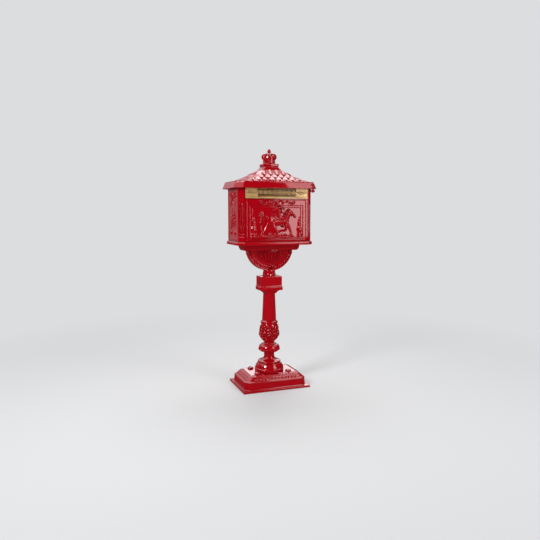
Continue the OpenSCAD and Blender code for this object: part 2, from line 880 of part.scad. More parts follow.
// The reeded recess in a post's canted face, and the two small astragals below it
module canted_face() {
    translate([half_w - box_cant / 2, -half_d + box_cant / 2, box_z])
        rotate([0, 0, -45]) children();
}

module reed_recess() {
    depth = 1.8;
    translate([0, 0, (reed_low + reed_high) / 2])
        cube([2 * depth, box_cant, reed_high - reed_low], center = true);
}

module reeds() {
    for (k = [-1, 0, 1])
        translate([-1.8, k * box_cant * 0.3, reed_low])
            cylinder(reed_high - reed_low, r = box_cant * 0.12, $fn = 24);
    for (z = [22, 36])
        translate([-0.6, 0, z])
            rotate([90, 0, 0])
                cylinder(box_cant * sqrt(2) - 1, r = 2.4, center = true, $fn = 24);
}

module post(front, right) {
    lip_top = front ? panel_top_z - over : eave_z;
    mirror([right ? 0 : 1, 0, 0]) mirror([0, front ? 0 : 1, 0]) difference() {
        union() {
            difference() {
                translate([0, 0, box_z]) linear_extrude(box_h) post_section();
                canted_face() reed_recess();
            }
            canted_face() reeds();
            translate([panel_edge_x - lip_w, -front_back, box_z])
                cube([lip_w + 2, lip_t, lip_top - box_z]);
            translate([side_back - lip_t, -panel_edge_y - 2, box_z])
                cube([lip_t, lip_w + 3.5, box_h]);
            for (z = [box_z, eave_z - lug_t])
                translate([0, 0, z]) linear_extrude(lug_t) screw_lug();
        }
        translate([boss_x, -boss_y, box_z - over])
            cylinder(box_h + 2 * over, r = screw_d / 2 + screw_gap);
        if (front) flap_pin_hole(right);
        panel_screw_holes();
    }
}

// Hole for the flap's pin, blind in the left post
module flap_pin_hole(right) {
    translate([panel_edge_x - over, flap_pin_y, flap_pin_z])
        rotate([0, 90, 0])
            cylinder(right ? 3 * box_cant : 6 + over, r = flap_pin_r + running);
}

front_screw_x = panel_edge_x - lip_w / 2;
side_screw_y = panel_edge_y - 6;
screw_rise = 34;

// Through holes of the panel screws in the lips of the right front post
module panel_screw_holes() {
    r = screw_d / 2 + screw_gap;
    for (z = [box_z + screw_rise, panel_top_z - screw_rise])
        translate([front_screw_x, -front_back - over, z])
            rotate([-90, 0, 0]) cylinder(lip_t + 2 * over, r = r);
    for (z = [box_z + screw_rise, eave_z - screw_rise])
        translate([side_back - lip_t - over, -side_screw_y, z])
            rotate([0, 90, 0]) cylinder(lip_t + 2 * over, r = r);
}

module panel_screw() {
    translate([0, 0, -screw_head_h]) cylinder(screw_head_h, r = screw_head_d / 2);
    cylinder(lip_t + panel_t / 2, r = screw_d / 2);
}

module panel_screws() {
    color(zinc)
        for (mx = [0, 1])
            for (my = [0, 1])
                mirror([mx, 0, 0]) mirror([0, my, 0]) {
                    for (z = [box_z + screw_rise, panel_top_z - screw_rise])
                        translate([front_screw_x, -front_back + lip_t, z])
                            rotate([90, 0, 0]) panel_screw();
                    for (z = [box_z + screw_rise, eave_z - screw_rise])
                        translate([side_back - lip_t, -side_screw_y, z])
                            rotate([0, 90, 0]) panel_screw();
                }
}

module front_left_post() { color(enamel) post(true, false); }
module front_right_post() { color(enamel) post(true, true); }
module rear_left_post() { color(enamel) post(false, false); }
module rear_right_post() { color(enamel) post(false, true); }

// A raised outline on the front panel, drawn in the plane of its face from the panel's foot
module on_front(height) {
    translate([0, -front_face + 1, box_z])
        rotate([90, 0, 0]) linear_extrude(height + 1) children();
}

// A raised outline on the right side panel
module on_side(height) {
    translate([side_face - 1, 0, box_z])
        rotate([90, 0, 90]) linear_extrude(height + 1) children();
}

// A rectangular fillet line
module fillet_frame(x, z0, z1, w) {
    difference() {
        translate([-x, z0]) square([2 * x, z1 - z0]);
        translate([-x + w, z0 + w]) square([2 * (x - w), z1 - z0 - 2 * w]);
    }
}

// Blind holes for the screws that hold a front or rear panel
module front_blind_holes() {
    for (side = [-1, 1])
        for (z = [box_z + screw_rise, panel_top_z - screw_rise])
            translate([side * front_screw_x, -front_back + over, z])
                rotate([90, 0, 0])
                    cylinder(panel_t / 2 + 0.3 + over, r = screw_d / 2 + screw_gap);
}

relief_mid = 4;

// The galloping horse, the rider and the ground under them
module horse() {
    on_front(3.6) polygon(smooth([
        [58, 151], [66, 154], [76, 148], [84, 137], [94, 127], [98, 120], [92, 115], [82, 115],
        [72, 110], [64, 109], [60, 101], [58, 89], [60, 80], [68, 62], [75, 46], [78, 33],
        [76, 26], [69, 27], [67, 38], [60, 52], [50, 62], [38, 68], [20, 74], [4, 79],
        [-8, 76], [-4, 64], [3, 50], [9, 36], [8, 27], [0, 27], [-6, 42], [-15, 56],
        [-26, 64], [-40, 60], [-52, 46], [-64, 32], [-74, 26], [-80, 30], [-72, 42], [-60, 58],
        [-50, 74], [-46, 92], [-42, 108], [-32, 118], [-16, 120], [4, 117], [26, 122], [42, 130],
        [50, 141]
    ], 3));
    on_front(4.4) polygon(smooth([
        [48, 66], [36, 57], [22, 58], [15, 54], [16, 48], [26, 47], [42, 48], [56, 60], [56, 70]
    ], 3));
    on_front(3) stroke([[-38, 110], [-54, 117], [-70, 114], [-84, 104]], 11, 3);
    on_front(5.2) polygon(smooth([
        [-42, 100], [-34, 114], [-18, 116], [-8, 104], [-12, 86], [-26, 78], [-40, 84]
    ], 3));
    on_front(5) polygon(smooth([
        [-10, 90], [4, 86], [22, 82], [40, 80], [54, 86], [54, 104], [40, 118], [20, 112], [-6, 112]
    ], 3));
    on_front(5.4) polygon(smooth([
        [40, 104], [52, 92], [56, 104], [62, 116], [76, 116], [88, 120], [84, 128], [72, 138],
        [62, 146], [52, 132]
    ], 3));
}

module rider() {
    on_front(6.4) polygon(smooth([
        [4, 112], [2, 128], [0, 142], [2, 154], [10, 160], [18, 156], [24, 144], [26, 130],
        [30, 120], [22, 110]
    ], 3));
    on_front(7.2) stroke([[12, 117], [28, 110], [31, 98], [26, 84], [28, 74]], 11, 6);
    on_front(7.6) stroke([[12, 150], [22, 138], [42, 138]], 8, 5);
    on_front(6) stroke([[4, 152], [-8, 142], [-20, 146]], 10, 4);
    translate([14, -front_face, box_z + 166]) rotate([90, 0, 0]) dome(7.5, 7.5);
    on_front(8) polygon(smooth([[2, 169], [8, 171], [10, 178], [20, 178], [22, 171], [30, 169], [14, 167]], 3));
    on_front(4.6) stroke([[44, 138], [62, 128], [86, 120]], 2, 2);
}

module ground() {
    on_front(3.3) polygon(smooth([
        [-78, 24], [-70, 36], [-62, 30], [-52, 42], [-44, 32], [-32, 44], [-24, 34], [-12, 40],
        [0, 32], [14, 42], [26, 34], [38, 42], [50, 34], [62, 38], [80, 26], [40, 20], [-40, 20]
    ], 2));
}

// Leafy scroll under the letter slot
module scroll_half() {
    stroke([[4, 189], [16, 196], [28, 190], [30, 181], [22, 180], [20, 187]], 6, 3);
    stroke([[26, 194], [40, 186], [54, 192], [68, 188], [78, 178], [88, 184], [84, 193], [76, 190]], 6, 3);
    polygon(smooth([[40, 189], [48, 198], [58, 196], [50, 190]], 3));
    polygon(smooth([[60, 190], [64, 180], [74, 176], [70, 186]], 3));
}

module scroll() {
    on_front(2.8) translate([relief_mid, 0]) {
        scroll_half();
        mirror([1, 0]) scroll_half();
    }
    on_front(3.6) translate([relief_mid, 188]) circle(6, $fn = 24);
}

// A turned ornament sunk in the panel, on a small pedestal
module panel_baluster() {
    depth = 8;
    translate([0, -front_face + depth, box_z])
        intersection() {
            rotate_extrude()
                polygon([
                    [0, 20], [15, 20], [15, 30], [11.5, 31], [10, 35], [13.5, 41], [14.8, 50], [14, 60],
                    [11, 68], [9.5, 71], [12, 76], [12.4, 83], [10.5, 90], [9.2, 94], [10, 99], [8.8, 106],
                    [0, 113]
                ]);
            translate([-20, -20, 0]) cube([40, 20 - depth + 1, 130]);
        }
}

module front_panel() {
    color(enamel) difference() {
        union() {
            translate([-panel_edge_x + panel_gap, -front_face, box_z])
                cube([2 * (panel_edge_x - panel_gap), panel_t, panel_top_z - box_z]);
            translate([-flap_w / 2 + 8, -front_face, box_z])
                cube([flap_w - 16, panel_t, panel_top_z + flap_stop_h - box_z]);
            on_front(2) fillet_frame(135, 14, 174, 3);
            on_front(1.6) fillet_frame(122, 21, 162, 3);
            horse();
            rider();
            ground();
            scroll();
            for (side = [-1, 1])
                translate([side * 117, 0, 0]) panel_baluster();
        }
        front_blind_holes();
    }
}

// A dome on the right side panel, at y and a height over the panel's foot
module side_dome(y, z, r, rise) {
    translate([side_face, y, box_z + z]) rotate([0, 90, 0]) dome(r, rise);
}

// Relief of a side panel: rosette with ribbons, husk stem, bouquet and tassels
module rosette() {
    for (i = [0:7])
        side_dome(16.5 * cos(45 * i), 215 + 16.5 * sin(45 * i), 8.6, 4.6);
    side_dome(0, 215, 11.3, 7.4);
    for (side = [-1, 1]) {
        on_side(2.6) stroke([[side * 20, 222], [side * 34, 232], [side * 46, 222], [side * 40, 210]], 9, 4);
        on_side(2.2) stroke([[side * 20, 206], [side * 34, 202], [side * 38, 190]], 8, 3);
    }
}

module husk_stem() {
    for (i = [0:3])
        on_side(3.4) translate([0, 146 + 12 * i])
            polygon(smooth([[0, 0], [6, 7], [3, 14], [0, 10], [-3, 14], [-6, 7]], 3));
    on_side(2.4) translate([-1.5, 140]) square([3, 62]);
}

module bouquet() {
    on_side(2.6) polygon(smooth([
        [0, 66], [20, 72], [38, 86], [42, 104], [34, 122], [20, 132], [8, 146], [0, 148],
        [-8, 146], [-20, 132], [-34, 122], [-42, 104], [-38, 86], [-20, 72]
    ], 2));
    side_dome(0, 104, 13, 8.6);
    side_dome(0, 128, 8, 6);
    side_dome(0, 79.5, 7, 5.4);
    for (side = [-1, 1]) {
        side_dome(side * 19, 114, 9.4, 7);
        side_dome(side * 29, 95, 7.6, 6.2);
        side_dome(side * 14.6, 87.4, 7.4, 5.8);
        on_side(3) stroke([[side * 14, 76], [side * 26, 70], [side * 30, 62]], 6, 4);
        tassel(side * 30);
    }
}

// A half round tassel hanging from the bouquet
module tassel(y) {
    translate([side_face, y, box_z + 37])
        intersection() {
            rotate_extrude()
                polygon([[0, 0], [9, 0], [7.5, 8], [5, 16], [3.5, 20], [5.5, 24], [3, 28], [0, 29]]);
            translate([-2, -12, -over]) cube([14, 24, 32]);
        }
}

module side_panel() {
    depth_half = panel_edge_y - panel_gap;
    difference() {
        union() {
            translate([side_back, -depth_half, box_z])
                cube([panel_t, 2 * depth_half, box_h - panel_gap]);
            rosette();
            husk_stem();
            bouquet();
            on_side(1.8) fillet_frame(depth_half - 4, 10, box_h - 6, 3);
        }
        for (side = [-1, 1])
            for (z = [box_z + screw_rise, eave_z - screw_rise])
                translate([side_back - over, side * side_screw_y, z])
                    rotate([0, 90, 0])
                        cylinder(panel_t / 2 + 0.3 + over, r = screw_d / 2 + screw_gap);
    }
}

module right_side_panel() { color(enamel) side_panel(); }
module left_side_panel() { color(enamel) mirror([1, 0, 0]) side_panel(); }

// Rear panel with the retrieval opening and the fixed hinge knuckles
module rear_panel() {
    color(enamel) difference() {
        union() {
            translate([-panel_edge_x + panel_gap, front_back, box_z])
                cube([2 * (panel_edge_x - panel_gap), panel_t, box_h - panel_gap]);
            for (z = [door_z - knuckle_gap - knuckle_h, door_z + door_h + knuckle_gap]) {
                translate([door_pin_x, door_pin_y, z]) cylinder(knuckle_h, r = knuckle_r);
                translate([door_pin_x - knuckle_r + 1, front_face - 1, z])
                    cube([2 * knuckle_r - 2, door_pin_y - front_face + 1, knuckle_h]);
            }
        }
        translate([-opening_w / 2, front_back - over, opening_z])
            cube([opening_w, panel_t + 2 * over, opening_h]);
        translate([door_pin_x, door_pin_y, door_z - 2 * knuckle_h])
            cylinder(door_h + 4 * knuckle_h, r = pin_d / 2 + running);
        mirror([0, 1, 0]) front_blind_holes();
    }
}

module rear_door() {
    right = opening_w / 2 + door_lap;
    color(enamel) difference() {
        union() {
            translate([door_pin_x + 1, door_in, door_z]) cube([right - door_pin_x - 1, door_t, door_h]);
            translate([door_pin_x, door_pin_y, door_z]) cylinder(door_h, r = knuckle_r);
            translate([0, door_out - 1, 0])
                rotate([90, 0, 180])
                    linear_extrude(2.5)
                        translate([0, door_z]) fillet_frame(right - 4, 4, door_h - 4, 3);
        }
        translate([door_pin_x, door_pin_y, door_z - over])
            cylinder(door_h + 2 * over, r = pin_d / 2 + running);
        translate([lock_x, door_in - over, lock_z])
            rotate([-90, 0, 0]) cylinder(door_t + 2 * over, r = lock_d / 2 + running);
    }
}

module door_pin() {
    low = door_z - knuckle_gap - knuckle_h;
    high = door_z + door_h + knuckle_gap + knuckle_h;
    color(steel) translate([door_pin_x, door_pin_y, 0]) {
        translate([0, 0, low - 2]) cylinder(2, r = knuckle_r - 0.5);
        translate([0, 0, low - over]) cylinder(high - low + 2 * over, r = pin_d / 2);
        translate([0, 0, high]) cylinder(2, r = knuckle_r - 0.5);
    }
}

// Cam lock, along Y at the free side of the door
module at_lock(y) {
    translate([lock_x, y, lock_z]) rotate([-90, 0, 0]) children();
}

plug_out = door_out + lock_flange_t - 0.4;

module lock_housing() {
    color(zinc) difference() {
        union() {
            at_lock(lock_end) cylinder(door_out - lock_end + over, r = lock_d / 2);
            at_lock(door_out) cylinder(lock_flange_t, r = lock_d / 2 + 3);
        }
        at_lock(lock_end - over)
            cylinder(door_out - lock_end + lock_flange_t + 2 * over, r = plug_d / 2 + running);
    }
}

module lock_nut() {
    color(zinc) at_lock(door_in - lock_nut_t) hex_nut(20.4, lock_nut_t, lock_d / 2 + running);
}

module lock_plug() {
    color(zinc) difference() {
        union() {
            at_lock(cam_out + 0.1) cylinder(plug_out - cam_out - 0.1, r = plug_d / 2);
            at_lock(cam_in) cylinder(cam_t + 0.5, r = cam_boss_r);
        }
        at_lock(cam_in - over) cylinder(12, r = cam_screw_r + screw_gap);
        at_lock(plug_out - 4) translate([-1, -3.2, 0]) cube([2, 6.4, 5]);
    }
}

module lock_cam() {
    color(steel) difference() {
        translate([lock_x, cam_in, lock_z]) rotate([-90, 0, 0]) {
            cylinder(cam_t, r = cam_w / 2);
            translate([-cam_w / 2, 0, 0]) cube([cam_w, cam_len, cam_t]);
        }
        at_lock(cam_in - over) cylinder(cam_t + 2 * over, r = cam_boss_r + running);
    }
}

module cam_screw() {
    color(steel) {
        at_lock(cam_in - 2.2) cylinder(2.2, r = cam_boss_r + 1.8);
        at_lock(cam_in - 1) cylinder(10, r = cam_screw_r);
    }
}

// Brass letter flap with its rolled barrel, lip and lozenge band
module flap_plate() {
    translate([-flap_w / 2, -flap_front, flap_z]) cube([flap_w, flap_t, flap_h]);
    translate([0, -flap_front + 1, flap_z])
        rotate([90, 0, 0])
            linear_extrude(3.5) translate([-flap_w / 2, 0]) square([flap_w, 5]);
    translate([-flap_w / 2, -flap_front, flap_z + 5])
        rotate([0, 90, 0]) cylinder(flap_w, r = 2.5, $fn = 24);
}

lozenge_count = 8;
lozenge_w = 24;

module flap_band() {
    mid = flap_h / 2 + 3.5;
    translate([0, -flap_front + 1, flap_z])
        rotate([90, 0, 0])
            linear_extrude(2.6) {
                for (i = [0:lozenge_count - 1])
                    translate([(i - (lozenge_count - 1) / 2) * lozenge_w, mid])
                        difference() {
                            polygon([[-10.5, 0], [0, 12.5], [10.5, 0], [0, -12.5]]);
                            polygon([[-6, 0], [0, 7.2], [6, 0], [0, -7.2]]);
                        }
                for (side = [-1, 1]) {
                    translate([side * 108, mid])
                        polygon(smooth([[0, 0], [side * 10, 9], [side * 24, 8], [side * 38, 0],
                            [side * 24, -8], [side * 10, -9]], 3));
                }
            }
    for (i = [0:lozenge_count])
        for (dz = [-8.5, 8.5])
            translate([(i - lozenge_count / 2) * lozenge_w, -flap_front, flap_z + mid + dz])
                sphere(2.4, $fn = 20);
}

module letter_flap() {
    color(brass) difference() {
        union() {
            flap_plate();
            flap_band();
            translate([-flap_w / 2 + 1, flap_pin_y, flap_pin_z])
                rotate([0, 90, 0]) cylinder(flap_w - 2, r = barrel_r);
            translate([-flap_w / 2 + 1, -flap_back - over, flap_pin_z - 2.5])
                cube([flap_w - 2, flap_back + flap_pin_y + over, 5]);
        }
        translate([-flap_w / 2, flap_pin_y, flap_pin_z])
            rotate([0, 90, 0]) cylinder(flap_w + over, r = flap_pin_r + running);
    }
}

module flap_pin() {
    low = -panel_edge_x - 5.5;
    color(enamel) translate([0, flap_pin_y, flap_pin_z]) {
        translate([low, 0, 0]) rotate([0, 90, 0]) cylinder(pin_knob_x - low, r = flap_pin_r);
        translate([pin_knob_x - 14, 0, 0]) rotate([0, 90, 0]) cylinder(14, r = 5);
        translate([pin_knob_x, 0, 0]) sphere(d = pin_knob_d);
    }
}

// Roof casting: a share t of the slope, 0 at the eave and 1 under the steep band
function slope_level(t) = [
    slope_w + (band_foot_w - slope_w) * t,
    slope_d + (band_foot_d - slope_d) * t,
    slope_cant + (band_cant - slope_cant) * t,
    slope_z + slope_rise * pow(t, slope_power)
];

function thinner(l, side, drop) = [l[0] - side, l[1] - side, l[2] - cant_loss * side, l[3] - drop];

module roof_outside() {
    canted_loft(concat(
        [[eave_w, eave_d, eave_cant, eave_z]],
        [for (i = [0:tile_rows]) slope_level(i / tile_rows)],
        [[cap_half - 4, cap_depth - 4, band_cant - 2, cap_z + over]]
    ));
    canted_loft([
        [cap_half - 2, cap_depth - 2, band_cant - 2, cap_z],
        [cap_half, cap_depth, band_cant, cap_z + 3],
        [cap_half, cap_depth, band_cant, crown_z - 3],
        [cap_half - 2, cap_depth - 2, band_cant - 2, crown_z]
    ]);
}

module roof_hollow() {
    side = roof_wall;
    canted_loft([
        thinner([eave_w, eave_d, eave_cant, eave_z], side, over),
        thinner(slope_level(0), side + 2, roof_wall),
        thinner(slope_level(0.33), 2, roof_wall),
        thinner(slope_level(0.66), 4, roof_wall),
        thinner(slope_level(1), side + 1, roof_wall),
        [cap_half - 11, cap_depth - 11, band_cant - 4, ceiling_z]
    ]);
}

// One row of tiles on a slope that faces -Y, its lower edge cut in scallops
module tile_row(i, low, high, half_length) {
    fall = low[1] - high[1];
    drop = high[3] - low[3] - tile_lift;
    length = sqrt(fall * fall + drop * drop);
    tip = 0.28 * tile_w;
    n = ceil(half_length / tile_w) + 1;
    start = i % 2 == 0 ? 0 : 0.5;
    translate([0, -high[1], high[3] + 0.5])
        rotate([atan2(drop, fall), 0, 0])
            translate([0, 0, -4.5])
                linear_extrude(4.5)
                    polygon(concat(
                        [[n * tile_w, 3], [-n * tile_w, 3]],
                        [for (k = [-n:n - 1]) for (a = [0:30:150])
                            [(k + start + 0.5 - 0.5 * cos(a)) * tile_w, -length - tip * pow(sin(a), 0.8)]],
                        [[(n + start) * tile_w, -length]]
                    ));
}

// The tiled part of the slope that faces -Y, between the smooth hips
module tile_field(levels) {
    hip = 3;
    top = levels[tile_rows];
    foot = levels[0];
    intersection() {
        union() {
            for (i = [0:tile_rows - 1])
                tile_row(i, levels[i], levels[i + 1], levels[i][0]);
        }
        translate([0, 0, slope_z - 20])
            linear_extrude(slope_rise + 40)
                polygon([
                    [-top[0] + top[2] + hip, -top[1] + 1],
                    [-foot[0] + foot[2] + hip, -foot[1] + 1.2],
                    [foot[0] - foot[2] - hip, -foot[1] + 1.2],
                    [top[0] - top[2] - hip, -top[1] + 1]
                ]);
    }
}

module roof_tiles() {
    levels = [for (i = [0:tile_rows]) slope_level(i / tile_rows)];
    turned = [for (l = levels) [l[1], l[0], l[2], l[3]]];
    for (side = [0, 180]) {
        rotate([0, 0, side]) tile_field(levels);
        rotate([0, 0, side + 90]) tile_field(turned);
    }
}

module roof() {
    color(enamel) difference() {
        union() {
            difference() {
                union() {
                    roof_outside();
                    roof_tiles();
                }
                roof_hollow();
            }
            at_corners(boss_x, boss_y)
                translate([0, 0, eave_z]) cylinder(fascia_h, r = boss_r);
        }
        at_corners(boss_x, boss_y)
            translate([0, 0, eave_z - over]) cylinder(roof_screw_reach + 2 + over, r = screw_d / 2 + screw_gap);
        translate([0, 0, ceiling_z - over])
            cylinder(crown_z - ceiling_z + 2 * over, r = stud_r + 0.2);
    }
}

module roof_screws() {
    color(zinc)
        at_corners(boss_x, boss_y) {
            translate([0, 0, eave_z - lug_t - screw_head_h]) cylinder(screw_head_h, r = screw_head_d / 2);
            translate([0, 0, eave_z - lug_t]) cylinder(lug_t + roof_screw_reach, r = screw_d / 2);
        }
}

// Crown finial: band, cushion, arches and knob, with its stud below
module crown_finial() {
    band_r = crown_band_d / 2;
    arch_r = crown_arch_h * 0.38;
    arch_z = crown_band_h + crown_arch_h * 0.45;
    arch_t = 5.4;
    hub = crown_d / 2 - arch_r - arch_t;
    top = crown_band_h + crown_arch_h;
    color(enamel) translate([0, 0, crown_z]) {
        rotate_extrude()
            polygon([
                [0, 0], [band_r + 1, 0], [band_r + 1, 3], [band_r - 1, 4.5], [band_r - 1, crown_band_h - 4],
                [band_r + 1, crown_band_h - 2.5], [band_r + 1, crown_band_h], [band_r + 2, crown_band_h + 7],
                [band_r + 1, crown_band_h + 14], [band_r - 5, crown_band_h + 21], [band_r - 16, top - 4],
                [7, top - 1], [6, top + 1], [8.8, top + 6], [9, top + 10], [7.4, top + 15],
                [4.5, top + crown_knob_h - 2], [0, top + crown_knob_h]
            ]);
        for (i = [0:arch_count - 1])
            rotate([0, 0, 360 * (i + 0.5) / arch_count]) {
                translate([hub, 0, arch_z])
                    rotate([90, 0, 0])
                        rotate_extrude(angle = 360) translate([arch_r, 0]) circle(arch_t, $fn = 24);
                translate([band_r - 0.5, 0, 4]) cylinder(crown_band_h - 7, r = 2.4, $fn = 20);
            }
        translate([0, 0, ceiling_z - crown_z - finial_washer_t - finial_nut_h - 3])
            cylinder(crown_z - ceiling_z + finial_washer_t + finial_nut_h + 4, r = stud_r);
    }
}

module finial_washer() {
    color(steel) translate([0, 0, ceiling_z - finial_washer_t])
        ring_washer(12, finial_washer_t, stud_r + running);
}

module finial_nut() {
    color(steel) translate([0, 0, ceiling_z - finial_washer_t - finial_nut_h])
        hex_nut(16, finial_nut_h, stud_r + running);
}

base();
anchor_caps();
lower_column();
upper_column();
bracket();
tie_rod();
tie_rod_washers();
tie_rod_nuts();
floor_plate();
front_left_post();
front_right_post();
rear_left_post();
rear_right_post();
floor_screws();
front_panel();
left_side_panel();
right_side_panel();
rear_panel();
panel_screws();
rear_door();
door_pin();
lock_housing();
lock_nut();
lock_plug();
lock_cam();
cam_screw();
letter_flap();
flap_pin();
roof();
roof_screws();
crown_finial();
finial_washer();
finial_nut();
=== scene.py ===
"""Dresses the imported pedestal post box: enamelled castings, a brass letter flap, fittings and a studio stage."""

import json
import math

import bmesh
import bpy
from mathutils import Matrix, Vector


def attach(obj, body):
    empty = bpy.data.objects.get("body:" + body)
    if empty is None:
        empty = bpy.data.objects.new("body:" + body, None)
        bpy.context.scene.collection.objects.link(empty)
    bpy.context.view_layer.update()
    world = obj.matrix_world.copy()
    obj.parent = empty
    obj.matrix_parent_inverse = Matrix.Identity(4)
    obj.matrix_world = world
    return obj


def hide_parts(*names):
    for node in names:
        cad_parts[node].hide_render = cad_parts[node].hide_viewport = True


bl_info = {
    "name": "Pedestal Post Box",
    "version": (1, 0, 0),
    "blender": (4, 5, 0),
    "location": "View3D > Sidebar > Post Box",
    "description": "Dresses a cast pedestal post box in enamel and brass and lights it in a pale studio",
    "category": "Object",
}

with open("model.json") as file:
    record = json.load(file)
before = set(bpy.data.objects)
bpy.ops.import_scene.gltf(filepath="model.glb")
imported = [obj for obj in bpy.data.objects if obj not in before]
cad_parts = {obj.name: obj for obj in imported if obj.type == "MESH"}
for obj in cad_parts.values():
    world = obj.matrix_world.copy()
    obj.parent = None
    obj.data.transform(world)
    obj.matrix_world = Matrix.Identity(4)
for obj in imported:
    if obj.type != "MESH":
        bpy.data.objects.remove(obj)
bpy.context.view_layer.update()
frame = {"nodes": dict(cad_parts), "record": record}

MM = 0.001
BOX = "post_box"
BODIES = {"rear_door": "door", "lock_nut": "door", "cam_screw": "lock", "letter_flap": "flap"}


# ---- node groups


def new_group(name, inputs, outputs):
    """An empty shader node group with named float inputs and outputs."""
    tree = bpy.data.node_groups.new(name, "ShaderNodeTree")
    for label, value in inputs:
        socket = tree.interface.new_socket(name=label, in_out="INPUT", socket_type="NodeSocketFloat")
        socket.default_value = value
    for label in outputs:
        tree.interface.new_socket(name=label, in_out="OUTPUT", socket_type="NodeSocketFloat")
    return tree, tree.nodes.new("NodeGroupInput").outputs, tree.nodes.new("NodeGroupOutput").inputs


def new_node(tree, kind, **values):
    """A node whose inputs are set, or linked where the value is a socket."""
    node = tree.nodes.new("ShaderNode" + kind)
    for label, value in values.items():
        fill(tree, node.inputs[label.replace("_", " ")], value)
    return node


def fill(tree, socket, value):
    if isinstance(value, bpy.types.NodeSocket):
        tree.links.new(value, socket)
    else:
        socket.default_value = value


def computed(tree, operation, *values, clamp=False):
    """The result of a math node on numbers or sockets."""
    node = new_node(tree, "Math")
    node.operation = operation
    node.use_clamp = clamp
    for socket, value in zip(node.inputs, values):
        fill(tree, socket, value)
    return node.outputs[0]


def object_place(tree):
    return new_node(tree, "TexCoord").outputs["Object"]


def orange_peel_group():
    """Fine ripple of sprayed enamel over the slow waves of a sand casting."""
    tree, inlet, outlet = new_group(
        "enamel_ripple",
        [("Peel Scale", 420.0), ("Peel Height", 0.25), ("Wave Scale", 14.0), ("Wave Height", 1.0)],
        ["Height"],
    )
    place = object_place(tree)
    peel = new_node(tree, "TexNoise", Vector=place, Scale=inlet["Peel Scale"], Detail=1.0)
    wave = new_node(tree, "TexNoise", Vector=place, Scale=inlet["Wave Scale"], Detail=2.0)
    fine = computed(tree, "MULTIPLY", peel.outputs["Fac"], inlet["Peel Height"])
    total = computed(tree, "MULTIPLY_ADD", wave.outputs["Fac"], inlet["Wave Height"], fine)
    tree.links.new(total, outlet["Height"])
    return tree


def form_group():
    """Masks for raised edges, from how the surface curves, and for recesses, from what closes them in."""
    tree, inlet, outlet = new_group(
        "raised_and_recessed", [("Width", 0.06), ("Reach", 0.006), ("Depth", 2.0)], ["Raised", "Recessed"]
    )
    curve = computed(tree, "SUBTRACT", new_node(tree, "NewGeometry").outputs["Pointiness"], 0.5)
    tree.links.new(computed(tree, "DIVIDE", curve, inlet["Width"], clamp=True), outlet["Raised"])
    # Ambient occlusion: the Recessed mask is 1 where shade falls in recesses; the enamel paints shade from it, the
    # brass paints patina from it
    open_sky = new_node(tree, "AmbientOcclusion", Distance=inlet["Reach"])
    open_sky.samples = 6
    closed = computed(tree, "SUBTRACT", 1.0, open_sky.outputs["AO"])
    tree.links.new(computed(tree, "MULTIPLY", closed, inlet["Depth"], clamp=True), outlet["Recessed"])
    return tree


def tarnish_group():
    """Cloudy patches that break up a metal's colour and roughness."""
    tree, inlet, outlet = new_group("cloudy_patches", [("Scale", 30.0), ("Contrast", 2.0)], ["Mask"])
    cloud = new_node(tree, "TexNoise", Vector=object_place(tree), Scale=inlet["Scale"], Detail=6.0, Roughness=0.62)
    centred = computed(tree, "SUBTRACT", cloud.outputs["Fac"], 0.5)
    tree.links.new(computed(tree, "MULTIPLY_ADD", centred, inlet["Contrast"], 0.5, clamp=True), outlet["Mask"])
    return tree


GROUP_MAKERS = {
    "enamel_ripple": orange_peel_group,
    "raised_and_recessed": form_group,
    "cloudy_patches": tarnish_group,
}
GROUPS = {}


def place_group(material, name, **values):
    """A node group placed in a material with its own values."""
    if name not in GROUPS:
        GROUPS[name] = GROUP_MAKERS[name]()
    node = material.node_tree.nodes.new("ShaderNodeGroup")
    node.node_tree = GROUPS[name]
    for label, value in values.items():
        node.inputs[label.replace("_", " ")].default_value = value
    return node


# ---- materials


def fresh_material(name):
    material = bpy.data.materials.new(name)
    material.use_nodes = True
    return material, material.node_tree.nodes["Principled BSDF"]


def mixed_colour(material, mask, low, high):
    """A colour that runs from low, a colour or a socket, to high with a mask."""
    tree = material.node_tree
    node = new_node(tree, "Mix")
    node.data_type = "RGBA"
    fill(tree, node.inputs["Factor"], mask)
    fill(tree, node.inputs["A"], low if isinstance(low, bpy.types.NodeSocket) else (*low, 1.0))
    fill(tree, node.inputs["B"], (*high, 1.0))
    return node.outputs["Result"]


def ranged(material, mask, low, high):
    """A number that runs from low to high with a mask."""
    return new_node(material.node_tree, "MapRange", Value=mask, To_Min=low, To_Max=high).outputs["Result"]


def bumped(material, strength, distance, **ripple):
    """A normal with the enamel ripple on it."""
    height = place_group(material, "enamel_ripple", **ripple).outputs["Height"]
    node = new_node(material.node_tree, "Bump", Height=height, Strength=strength, Distance=distance)
    return node.outputs["Normal"]


def shaded(material, shader, **values):
    """The material with its shader's inputs set or linked."""
    for label, value in values.items():
        fill(material.node_tree, shader.inputs[label.replace("_", " ")], value)
    return material


def red_enamel(settings):
    """Glossy baked enamel on cast aluminium, with painted shade that darkens it in recesses and creases."""
    material, shader = fresh_material("red_enamel")
    form = place_group(material, "raised_and_recessed", Width=0.05, Reach=0.005, Depth=1.35)
    cloud = place_group(material, "cloudy_patches", Scale=9.0, Contrast=1.4).outputs["Mask"]
    body = mixed_colour(material, cloud, [v * 0.94 for v in settings.enamel], settings.enamel)
    return shaded(
        material,
        shader,
        # Painted shade: the enamel darkens to 30 percent of its colour where the Recessed mask, ambient occlusion,
        # finds recesses and creases
        Base_Color=mixed_colour(material, form.outputs["Recessed"], body, [v * 0.30 for v in settings.enamel]),
        Roughness=ranged(material, cloud, settings.gloss * 0.85, settings.gloss * 1.2),
        Specular_IOR_Level=0.0,
        Coat_Weight=1.0,
        Coat_Roughness=0.035,
        Coat_IOR=1.72,
        Normal=bumped(material, 0.25, 0.0016, Peel_Height=0.05, Wave_Height=1.0),
    )


